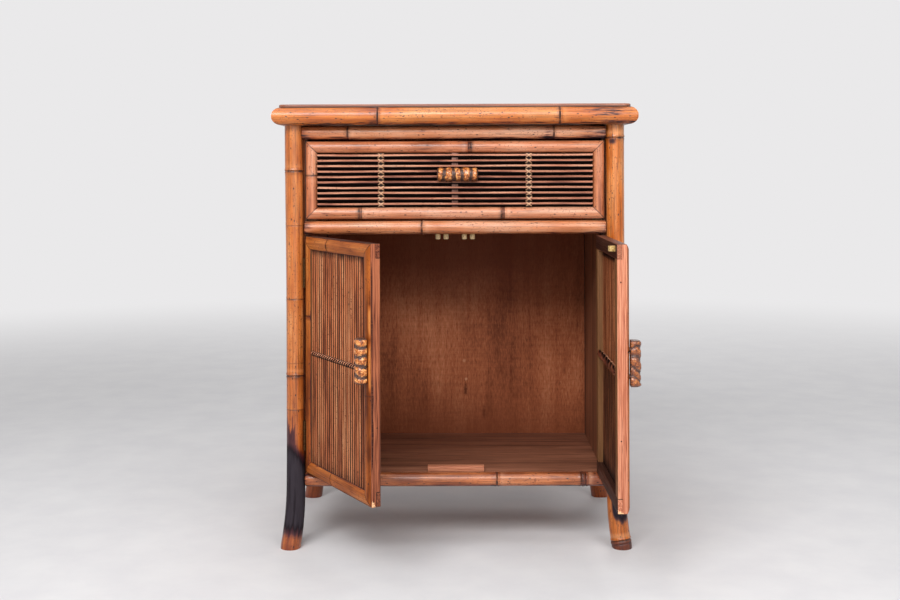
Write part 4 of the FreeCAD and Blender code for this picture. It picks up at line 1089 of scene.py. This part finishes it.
def addHandle(mesh, low, high, backY, bossLength, look):
    along = look["along"]
    back = Vector(((low.x + high.x) / 2, backY, (low.z + high.z) / 2))
    length = (high - low).dot(along)
    radius = (high - low).dot(look["across"]) / 2
    draw = random.Random(look["seed"])
    shift = seededShift(look["seed"])
    axisOut = handleLook["depth"] - radius
    sweep = math.pi + 2 * math.asin(axisOut / radius)
    bounds = [0.0]
    for share in handleLook["shares"]:
        bounds.append(bounds[-1] + share * (1 + draw.uniform(-handleLook["uneven"], handleLook["uneven"])))
    bounds = [value / bounds[-1] for value in bounds]
    leans = [draw.uniform(*handleLook["leans"]) * draw.choice((-look["slant"], look["slant"])) for value in bounds]
    phases = [draw.uniform(0, 6.28) for value in bounds]      # anywhere in a full turn
    sizes = [draw.uniform(*handleLook["sizes"]) for value in bounds]
    rows = []
    for step in range(handleLook["steps"] + 1):
        share = step / handleLook["steps"]
        distance = share * length
        fromEnd = min(distance, length - distance)
        row = []
        for part in range(handleLook["sectionSteps"] + 1):
            turn = -sweep / 2 + sweep * part / handleLook["sectionSteps"]
            edges = [value + lean * math.sin(turn * 1.3 + phase) * (0 < value < 1)
                     for value, lean, phase in zip(bounds, leans, phases)]
            lobe = sum(share > value for value in edges[1:-1])
            bulge = abs(2 * (share - edges[lobe]) / (edges[lobe + 1] - edges[lobe]) - 1)
            lump = noise.noise(Vector((math.cos(turn) * 2.2, math.sin(turn) * 2.2, share * 9)) + shift)
            hollow = smooth(0.3, 0.72, bulge) + 0.35 * smooth(0.9, 1.0, bulge) - 0.3 * peak(bulge - 0.82, 0.06)
            size = radius * sizes[lobe] - handleLook["groove"] * hollow + lump * handleLook["lump"]
            size = min(size - max(0.0, handleLook["endEase"] - fromEnd), radius)
            sideways = math.sin(turn) * size
            lift = max(0.0, axisOut + math.cos(turn) * size)
            if part in (0, handleLook["sectionSteps"]):
                lift = 0.0
            point = back + along * (distance - length / 2) + look["across"] * sideways - alongY * lift
            grain = Vector((sideways, lift, distance)) + shift
            scar = max(smooth(look["scarFrom"], look["scarFrom"] + 0.55, bulge),
                       handleLook["endDark"] * (1 - smooth(0.0, handleLook["endScar"], fromEnd)))
            # painted shade on the lower side
            row.append(addPoint(mesh, point, grain, scar, look["under"] * smooth(0.35, 1.0, -math.sin(turn))))
        rows.append(row)
    addRows(mesh, rows)
    for sign in (-1, 1) if bossLength else ():
        base = back + along * (sign * handleLook["bossGap"] / 2)
        points = [base + alongY * reach for reach in (-handleLook["bossSink"], bossLength * 0.5, bossLength)]
        addStrand(mesh, points, handleLook["boss"], handleLook["bossSides"], look["seed"] + 3 + sign, along, ring=1.0)


def buildDrawerHandle():
    low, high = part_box("drawer_handle")
    mesh = newMesh()
    addHandle(mesh, low, high, high.y, 0.0, handleLooks["drawer"])
    makePiece("drawer_handle", mesh, "drawer", handleLooks["drawer"]["finish"], handleLook["crease"])


drawerBoxLook = dict(sideSeed=520, bottomSeed=530)


def buildDrawerBox():
    sides = solidBoxes("drawer_sides")
    mesh = newMesh()
    for seed, (low, high) in enumerate(sides, drawerBoxLook["sideSeed"]):
        addBoard(mesh, blockSolid(low, high), "y", seed)
    makePiece("drawer_sides", mesh, "drawer", "drawerWood", boardEase["crease"])
    low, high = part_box("drawer_bottom")
    low = Vector((sides[0][1].x, low.y, low.z))      # shown between the sides only, not in their grooves
    high = Vector((sides[1][0].x, high.y, high.z))
    mesh = newMesh()
    addBoard(mesh, blockSolid(low, high), "x", drawerBoxLook["bottomSeed"])
    makePiece("drawer_bottom", mesh, "drawer", "drawerWood", boardEase["crease"])


buildDrawerTrim()
buildDrawerRods()
buildCrossLashings()
buildDrawerHandle()
buildDrawerBox()
print("drawer built")


# doors, built closed and then swung to where they rest

def doorPlace(side):
    joint = next(joint for joint in frame["joints"] if joint["name"] == side + "_door_hinge")
    pin = Matrix.Translation(Vector(joint["pos_m"]))
    turn = Matrix.Rotation(-math.radians(joint["range_deg"][0]), 4, Vector(joint["axis"]))
    return pin @ turn @ pin.inverted()


def makeDoorPiece(door, kind, mesh, finish, crease):
    body = door["side"] + "_door"
    makePiece(body + "_" + kind, mesh, body, finish, crease, door["place"])


doorLook = dict(member=0.022, trimWidth=0.0208, lap=0.5, lapPlay=0.00006, facing=0.8, edgeReach=0.001,
                lapGrime=dict(left=(0.34, 0.1), right=(0.04, 0.34)), headReach=0.002,
                tones=dict(meeting=0.2, other=-0.6), bare=dict(inside=0.85, other=0.3),
                soot=dict(head=0.7, ledge=0.92, inside=0.9, other=0.17),
                stileSeeds=dict(left=280, right=320), railSeeds=dict(left=290, right=330),
                trimSeeds=dict(left=330, right=350))
nailLook = dict(seed=330, places=dict(left=(0.3,), right=(0.27, 0.86)), depth=0.62, radius=0.0012, rise=0.00012,
                sink=0.00096, sides=10, tone=-1.0, soot=0.9)
markLook = dict(seed=335, sink=0.0004, thick=0.00055, ease=0.0001)
# marks on the meeting edges: corners as shares of the depth and heights above the foot, or below the head where
# negative, then tone and soot
lapGap = ((0.52, 0.0215), (0.97, 0.0215), (0.97, 0.0226), (0.52, 0.0226))
topGap = ((0.52, -0.0226), (0.97, -0.0226), (0.97, -0.0215), (0.52, -0.0215))
footCrack = ((0.49, 0.0225), (0.5, 0.01), (0.5, 0.0003), (0.55, 0.0003), (0.54, 0.009), (0.59, 0.0225))
leftChip = ((0.03, 0.0003), (0.03, 0.007), (0.1, 0.0105), (0.16, 0.0065), (0.27, 0.0085), (0.35, 0.003),
            (0.45, 0.0003))
highStreak = ((0.02, 0.225), (0.12, 0.24), (0.2, 0.275), (0.13, 0.3), (0.17, 0.33), (0.08, 0.372), (0.02, 0.36))
lowStreak = ((0.02, 0.05), (0.15, 0.07), (0.26, 0.11), (0.18, 0.14), (0.24, 0.165), (0.12, 0.2), (0.02, 0.19))
rightChip = ((0.4, 0.0003), (0.52, 0.0026), (0.62, 0.0014), (0.72, 0.0052), (0.8, 0.0034), (0.97, 0.0064),
             (0.97, 0.0003))
doorMarks = {
    "left": [(lapGap, -1.0, 0.95), (topGap, -1.0, 0.95), (footCrack, -1.0, 0.95), (leftChip, 2.2, 0.0),
             (highStreak, -1.0, 0.5), (lowStreak, -1.0, 0.46)],
    "right": [(lapGap, -1.0, 0.95), (rightChip, 2.2, 0.0)],
}


def buildDoorFrame(door):
    side, sign, low, high = [door[key] for key in ("side", "sign", "low", "high")]
    wide = doorLook["member"]
    play = doorLook["lapPlay"]
    soot = doorLook["soot"]
    depth = high.y - low.y
    middle = low.y + depth * doorLook["lap"]
    meeting = low.x if side == "right" else high.x
    outward = alongX * -sign
    mesh = newMesh()

    def onMeetingEdge(point, normal):
        return abs(normal.x) > doorLook["facing"] and abs(point.x - meeting) < doorLook["edgeReach"]

    def edgeTone(point, normal):
        return doorLook["tones"]["meeting" if onMeetingEdge(point, normal) else "other"]

    def edgeDirtAndShade(point, normal):
        # clean meeting edge, dirt and painted shade on the upward faces, a little darker elsewhere
        if onMeetingEdge(point, normal):
            return 0.0
        if normal.z > doorLook["facing"]:
            return soot["head" if point.z > high.z - doorLook["headReach"] else "ledge"]
        return soot["other"]

    def bareStile(point, normal):
        if onMeetingEdge(point, normal):
            return 0.0
        inside = normal.y > 0.5 or abs(normal.x) > doorLook["facing"]
        return doorLook["bare"]["inside" if inside else "other"]

    for number, x in enumerate((low.x, high.x - wide)):
        outline = ((low.y, low.z), (low.y, high.z), (middle, high.z), (middle, high.z - wide),
                   (high.y, high.z - wide), (high.y, low.z + wide), (middle, low.z + wide), (middle, low.z))
        stile = prismSolid([(x, y, z) for y, z in outline], alongX * wide)
        addBoard(mesh, stile, "z", doorLook["stileSeeds"][side] + number, bareStile, edgeDirtAndShade, edgeTone)
    for number, z in enumerate((low.z, high.z - wide)):
        outline = ((low.x, middle + play), (low.x + wide, middle + play), (low.x + wide + play, low.y),
                   (high.x - wide - play, low.y), (high.x - wide, middle + play), (high.x, middle + play),
                   (high.x, high.y), (low.x, high.y))

        def endGrain(point, normal):
            if abs(normal.x) > doorLook["facing"]:
                return doorLook["lapGrime"][side][number]
            return soot["inside"] if normal.y > 0.5 else edgeDirtAndShade(point, normal)

        rail = prismSolid([(x, y, z) for x, y in outline], alongZ * wide)
        addBoard(mesh, rail, "x", doorLook["railSeeds"][side] + number, 0.0, endGrain, edgeTone)
    for corners, tone, grime in doorMarks[side]:
        spots = [(meeting + sign * markLook["sink"], low.y + depth * share,
                  low.z + height if height > 0 else high.z + height) for share, height in corners]
        mark = prismSolid(spots, outward * markLook["thick"])
        addBoard(mesh, mark, "y", markLook["seed"], 0.0, grime, tone, markLook["ease"])
    for level in nailLook["places"][side]:
        spot = Vector((meeting, low.y + depth * nailLook["depth"], low.z + (high.z - low.z) * level))
        ends = [spot - outward * nailLook["sink"], spot + outward * nailLook["rise"]]
        addStrand(mesh, ends, nailLook["radius"], nailLook["sides"], nailLook["seed"], alongZ, nailLook["tone"],
                  nailLook["soot"])
    makeDoorPiece(door, "frame", mesh, side + "FrameWood", boardEase["crease"])


doorTrims = {
    "left": [dict(rings=((0.42, 0.5),), tones=(0.0, 0.2)),
             dict(rings=((0.42, 0.4),), tones=(-0.5, -0.6), worn=((0.705, 0.019, 3.4), (0.53, 0.03, 3.4))),
             dict(rings=((0.635, 0.9),), tones=(0.4, 0.1), smudges=((0.66, 0.006, 0.12),)),
             dict(rings=((0.335, 1.0),), tones=(0.3, -0.4),
                  smudges=((0.34, 0.006, 0.2), (0.62, 0.08, 0.08), (0.88, 0.09, 0.15)))],
    "right": [dict(rings=((0.3, 0.7),), tones=(0.1, 0.2)), dict(rings=((0.6, 0.8),), tones=(0.0, 0.2)),
              dict(rings=((0.55, 0.8),), tones=(0.2, 0.1)), dict(rings=((0.4, 0.6),), tones=(0.1, 0.2))],
}


def buildDoorTrim(door):
    mesh = newMesh()
    addTrim(mesh, door["side"] + "_door_trim", door["place"], doorLook["trimWidth"], doorTrims[door["side"]],
            doorLook["trimSeeds"][door["side"]])
    makeDoorPiece(door, "trim", mesh, "doorCane", stripLook["crease"])


reedLook = dict(drawSeeds=dict(left=60, right=62), seeds=dict(left=940, right=1060), gap=0.0001, sides=16,
                rows=10, sway=0.0005, sizes=(0.94, 0.96, 0.98, 1.0), tones=(-0.5, 0.6),
                footSteps=(0.005, 0.012, 0.024, 0.036), headSteps=(0.012, 0.005),
                lashSteps=(-0.02, -0.01, -0.005, -0.003, 0.003, 0.005, 0.01),
                grime=dict(flank=0.9, head=0.4, foot=0.26, tied=0.7, below=0.14), backDark=0.23)


def buildDoorReeds(door):
    side, low, high, lashLevel = [door[key] for key in ("side", "low", "high", "lashLevel")]
    firstLow, firstHigh = solidBoxes(side + "_door_reeds", door["place"])[0]
    radius = (firstHigh.x - firstLow.x) / 2
    depth = (firstLow.y + firstHigh.y) / 2
    left = low.x + doorLook["member"]
    bottom = low.z + doorLook["member"]
    top = high.z - doorLook["member"]
    span = high.x - low.x - 2 * doorLook["member"]
    count = round(span / (2 * radius + reedLook["gap"]))
    pitch = span / count
    levels = [bottom + (top - bottom) * step / reedLook["rows"] for step in range(reedLook["rows"] + 1)]
    levels += [bottom + step for step in reedLook["footSteps"]] + [top - step for step in reedLook["headSteps"]]
    levels += [lashLevel + step for step in reedLook["lashSteps"]]
    draw = random.Random(reedLook["drawSeeds"][side])
    mesh = newMesh()

    def crevice(point, across):
        # painted shade between the reeds, where they run into the frame and beside the twine, dirt and painted shade
        # at the foot, darker below the twine
        reach = max(1e-9, math.hypot(across.x, across.y))
        flank = smooth(0.52, 0.93, abs(across.x) / reach)
        head = 1 - smooth(0.0, 0.014, top - point.z)
        foot = 1 - smooth(0.0, 0.036, point.z - bottom)
        tied = (1 - smooth(0.003, 0.005, abs(point.z - lashLevel))) * smooth(-0.1, 0.3, -across.y / reach)
        below = smooth(0.0, 0.02, lashLevel - point.z)
        dark = deepest(reedLook["grime"], flank=flank, head=head, foot=foot, tied=tied, below=below)
        # darker on the back of each reed
        return dark + reedLook["backDark"] * smooth(0.2, 0.7, across.y / reach)

    for number in range(count):
        x = left + (number + 0.5) * pitch
        points = []
        for z in sorted(levels):
            sway = wander(z * 6.0, number * 2.1, door["sign"]) * reedLook["sway"]
            points.append(Vector((x + sway, depth + sway * 0.5, z)))
        size = min(radius, pitch / 2) * draw.choice(reedLook["sizes"])
        addStrand(mesh, points, size, reedLook["sides"], reedLook["seeds"][side] + number, alongY,
                  draw.uniform(*reedLook["tones"]), crevice)
    makeDoorPiece(door, "reeds", mesh, "reedCane", strandCrease)
    return Vector((left, depth, lashLevel)), pitch, count, radius


twineLook = dict(seeds=dict(left=395, right=405), sideSeeds=dict(left=435, right=445), strand=0.00105, sides=10,
                 depth=0.0013, rise=0.0032, shake=0.0004, tone=0.2, grime=0.66, stepsPerReed=14)


def addTwine(mesh, start, direction, out, pitch, count, radius, seed):
    # two strands that pass in front of and behind the reeds in turn and cross between them
    def fold(point, across):
        # painted shade on the upper and lower flanks of each strand
        return twineLook["grime"] * (1 - smooth(0.2, 0.75, abs(across.normalized().dot(out))))

    for strand in (0, 1):
        points = []
        for step in range(count * twineLook["stepsPerReed"] + 1):
            share = step / twineLook["stepsPerReed"]
            turn = math.pi * (share - 0.5 + strand)
            lift = (radius + twineLook["depth"]) * math.cos(turn)
            rise = twineLook["rise"] * math.sin(turn)
            rise += wander(share * 0.9, seed * 1.3, strand * 5.0) * twineLook["shake"]
            points.append(start + direction * (share * pitch) + out * lift + alongZ * rise)
        addStrand(mesh, points, twineLook["strand"], twineLook["sides"], seed + strand, alongZ, twineLook["tone"],
                  fold)


ropeLook = dict(seeds=dict(left=415, right=425), strand=0.0025, coil=0.0027, pitch=0.08, step=0.003, sides=14,
                tone=-1.0, grime=0.32, hiddenShade=0.2, endGap=0.001, reedGap=0.0012)


def addRope(mesh, start, length, seed):
    # three strands twisted round each other along the back of the reeds
    def fold(point, across):
        # darker all over, with painted shade on the side that faces the back
        hidden = 1 - smooth(-0.5, 0.5, across.normalized().dot(alongY))
        return ropeLook["grime"] + ropeLook["hiddenShade"] * hidden

    count = round(length / ropeLook["step"])
    for strand in (0, 1, 2):
        points = []
        for step in range(count + 1):
            along = length * step / count
            turn = 2 * math.pi * along / ropeLook["pitch"] + 2 * math.pi / 3 * strand
            coil = alongY * math.cos(turn) + alongZ * math.sin(turn)
            points.append(start + alongX * along + coil * ropeLook["coil"])
        addStrand(mesh, points, ropeLook["strand"], ropeLook["sides"], seed + strand, alongZ, ropeLook["tone"], fold)


def buildDoorLashing(door, start, pitch, count, radius):
    mesh = newMesh()
    gap = ropeLook["endGap"]
    behind = radius + twineLook["strand"] + ropeLook["coil"] + ropeLook["reedGap"]
    addRope(mesh, start + Vector((gap, behind, 0)), pitch * count - 2 * gap, ropeLook["seeds"][door["side"]])
    addTwine(mesh, start, alongX, -alongY, pitch, count, radius, twineLook["seeds"][door["side"]])
    makeDoorPiece(door, "lashing", mesh, "twineCane", strandCrease)


def buildDoorHandle(door):
    low, high = wholeBox(door["side"] + "_door_handle", door["place"])
    trimFront = wholeBox(door["side"] + "_door_trim", door["place"])[0].y
    look = handleLooks[door["side"]]
    mesh = newMesh()
    backY = low.y + handleLook["depth"]
    addHandle(mesh, low, high, backY, trimFront - backY, look)
    makeDoorPiece(door, "handle", mesh, look["finish"], handleLook["crease"])


def buildDoor(side, sign):
    place = doorPlace(side)
    low, high = wholeBox(side + "_door_frame", place)
    lashLow, lashHigh = wholeBox(side + "_door_lashing", place)
    door = dict(side=side, sign=sign, place=place, low=low, high=high, lashLevel=(lashLow.z + lashHigh.z) / 2)
    buildDoorFrame(door)
    buildDoorTrim(door)
    buildDoorLashing(door, *buildDoorReeds(door))
    buildDoorHandle(door)


sideSigns = {"left": -1, "right": 1}
for doorSide, doorSign in sideSigns.items():
    buildDoor(doorSide, doorSign)
print("doors built")


# side walls: reeds in two fields between the rails, the lower field tied by a twine

sideLook = dict(drawSeeds=dict(left=80, right=82), seeds=dict(left=1100, right=1500), sides=12, rows=6, sway=0.0003,
                sizes=(0.95, 1.0), tones=(-0.7, 0.8), grime=0.8, lowerField=0.3)
beadLook = dict(seeds=dict(left=1690, right=1710), radius=0.0019, reach=0.013, apart=1.15, gap=0.0001, rows=4,
                tone=-0.6, soot=0.25)


def sideCrevice(point, across):
    # painted shade on the flanks of each reed, between it and the next
    flank = abs(across.y) / max(1e-9, math.hypot(across.x, across.y))
    return sideLook["grime"] * smooth(0.62, 0.97, flank)


def buildSides():
    twineMesh = newMesh()
    for side, sign in sideSigns.items():
        reeds = solidBoxes("side_reeds_" + side)
        draw = random.Random(sideLook["drawSeeds"][side])
        mesh = newMesh()
        for number, (low, high) in enumerate(reeds):
            centre = (low + high) / 2
            points = []
            for step in range(sideLook["rows"] + 1):
                z = low.z + (high.z - low.z) * step / sideLook["rows"]
                sway = wander(z * 6.0, number * 2.1, sign * 3.0) * sideLook["sway"]
                points.append(Vector((centre.x, centre.y + sway, z)))
            radius = (high.y - low.y) / 2 * draw.uniform(*sideLook["sizes"])
            addStrand(mesh, points, radius, sideLook["sides"], sideLook["seeds"][side] + number, alongX,
                      draw.uniform(*sideLook["tones"]), sideCrevice)
        # slim beads that close the gaps beside the posts, running on behind the side rails
        bead = beadLook["radius"]
        for number, (low, high) in enumerate((reeds[0], reeds[1], reeds[-2], reeds[-1])):
            x = (low.x if sign > 0 else high.x) + sign * (bead + beadLook["gap"])
            y = low.y - beadLook["apart"] * bead if number < 2 else high.y + beadLook["apart"] * bead
            foot = low.z - beadLook["reach"]
            rise = high.z + beadLook["reach"] - foot
            points = [Vector((x, y, foot + rise * step / beadLook["rows"])) for step in range(beadLook["rows"] + 1)]
            addStrand(mesh, points, bead, sideLook["sides"], beadLook["seeds"][side] + number, alongX,
                      beadLook["tone"], beadLook["soot"])
        makePiece("side_reeds_" + side, mesh, "cabinet", "reedCane", strandCrease, None,
                  side + "SideReeds")
        lower = [box for box in reeds if box[0].z < sideLook["lowerField"]]
        low, high = lower[0]
        pitch = (lower[-1][0].y - low.y) / (len(lower) - 1)
        lashes = [box for box in solidBoxes("side_lashings") if (box[0].x + box[1].x) * sign > 0]
        lashLow, lashHigh = boxRound([corner for box in lashes for corner in box])
        start = Vector(((low.x + high.x) / 2, low.y, (lashLow.z + lashHigh.z) / 2))
        addTwine(twineMesh, start, alongY, alongX * sign, pitch, len(lower), (high.x - low.x) / 2,
                 twineLook["sideSeeds"][side])
    makePiece("side_lashings", twineMesh, "cabinet", "twineCane", strandCrease)


buildSides()
print("sides built")


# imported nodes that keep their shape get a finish

nodeFinishes = {
    "side_panel_left": "sidePly", "side_panel_right": "sidePly", "top_board": "bareBoard",
    "case_cleats": "runnerWood", "drawer_runners": "runnerWood", "catch_batten": "battenWood",
    "catch_plates": "agedBrass", "hinge_post_leaves": "darkBrass", "hinge_pins": "darkBrass",
    "hinge_post_screws": "dullSteel", "drawer_handle_screws": "dullSteel",
}
for doorSide in sideSigns:
    nodeFinishes[doorSide + "_door_strike"] = "agedBrass"
    nodeFinishes[doorSide + "_door_hinge_leaves"] = "darkBrass"
    nodeFinishes[doorSide + "_door_screws"] = "dullSteel"
    for spot in ("inner", "outer"):
        nodeFinishes[doorSide + "_catch_roller_" + spot] = "agedIvory"
for nodeName, finishName in nodeFinishes.items():
    packed = frame["nodes"][nodeName]
    packed.data.materials.clear()
    packed.data.materials.append(finishes[finishName])
print("packed nodes finished:", len(nodeFinishes))


# floor, light and camera

stageLook = dict(size=14.0, near=1.2, far=4.0, floor=((222, 221, 223), (228, 227, 228)), backdrop=(234, 233, 234),
                 worldLight=0.2)
lampLooks = [
    dict(name="keyLamp", place=(-0.7, -2.7, 2.3), aim=(0.0, 0.0, 0.4), size=(2.0, 1.2), power=90.0),
    dict(name="fillLamp", place=(1.6, -2.9, 1.8), aim=(0.0, 0.0, 0.35), size=(1.8, 1.2), power=33.0),
    dict(name="frontLamp", place=(0.1, -3.4, 0.9), aim=(0.0, 0.0, 0.3), size=(1.8, 1.0), power=9.0),
    dict(name="topLamp", place=(0.0, -0.6, 2.9), aim=(0.0, 0.0, 0.5), size=(2.4, 1.6), power=22.0),
    dict(name="rearLamp", place=(0.5, 3.0, 2.3), aim=(0.0, 0.0, 0.4), size=(2.4, 1.8), power=32.0),
]
cameraLook = dict(place=(0.00875, -2.2443, 0.6406), pan=-0.465, tilt=0.092, roll=-0.194, focalPixels=1234.818,
                  frameWidth=900.0, axisLift=134.957, sensor=36.0, clipStart=0.05)


def addToScene(name, data):
    made = bpy.data.objects.new(name, data)
    bpy.context.scene.collection.objects.link(made)
    return made


def seenDirectly(tree):
    # 1 where the backdrop is looked at, mirrored or seen through glass
    looked = put(tree, "ShaderNodeLightPath", {}, "Is Camera Ray")
    shiny = looked.beside("Is Glossy Ray").join("MAXIMUM", looked.beside("Is Transmission Ray"))
    return looked.join("MAXIMUM", shiny)


def buildStage():
    half = stageLook["size"]
    data = bpy.data.meshes.new("paleFloor")
    data.from_pydata([(-half, -half, 0), (half, -half, 0), (half, half, 0), (-half, half, 0)], [], [(0, 1, 2, 3)])
    tree, shader = newFinish("paleFloor")
    place = objectPlace(tree)
    colour = clouds(place, (9, 9, 9), 5.0).ramp((0.35, 0.65), stageLook["floor"])
    fill(shader, {"Base Color": colour, "Roughness": 0.85, "Specular IOR Level": 0.2})
    # far from the object the floor fades into the backdrop
    away = onVector("LENGTH", place, output="Value")
    fade = away.spread(stageLook["near"], stageLook["far"]) * seenDirectly(tree)
    glow = put(tree, "ShaderNodeEmission", {"Color": stageLook["backdrop"], "Strength": 1.0})
    blend = put(tree, "ShaderNodeMixShader", {0: fade, 1: Wire(tree, shader.outputs[0]), 2: glow})
    fill(tree.nodes["Material Output"], {"Surface": blend})
    data.materials.append(finishes["paleFloor"])
    addToScene("paleFloor", data)
    world = bpy.data.worlds.new("paleWorld")
    bpy.context.scene.world = world
    world.use_nodes = True
    strength = seenDirectly(world.node_tree) * (1.0 - stageLook["worldLight"]) + stageLook["worldLight"]
    fill(world.node_tree.nodes["Background"], {"Color": stageLook["backdrop"], "Strength": strength})


def buildLamps():
    for look in lampLooks:
        light = bpy.data.lights.new(look["name"], "AREA")
        light.shape = "RECTANGLE"
        light.size, light.size_y = look["size"]
        light.energy = look["power"]
        lamp = addToScene(look["name"], light)
        lamp.location = look["place"]
        lamp.rotation_mode = "QUATERNION"
        lamp.rotation_quaternion = (Vector(look["aim"]) - Vector(look["place"])).to_track_quat("-Z", "Y")


def buildCamera():
    look = cameraLook
    data = bpy.data.cameras.new("photoCamera")
    data.sensor_width = look["sensor"]
    data.lens = look["focalPixels"] * look["sensor"] / look["frameWidth"]
    data.shift_y = -look["axisLift"] / look["frameWidth"]
    data.clip_start = look["clipStart"]
    camera = addToScene("photoCamera", data)
    pan = Matrix.Rotation(-math.radians(look["pan"]), 4, "Z")
    level = Matrix.Rotation(math.radians(90 + look["tilt"]), 4, "X")
    roll = Matrix.Rotation(math.radians(look["roll"]), 4, "Z")
    camera.matrix_world = Matrix.Translation(Vector(look["place"])) @ pan @ level @ roll
    bpy.context.scene.camera = camera


buildStage()
buildLamps()
buildCamera()
bpy.context.scene.view_settings.view_transform = "Standard"
print("stage, lamps and camera set")

bpy.context.view_layer.update()
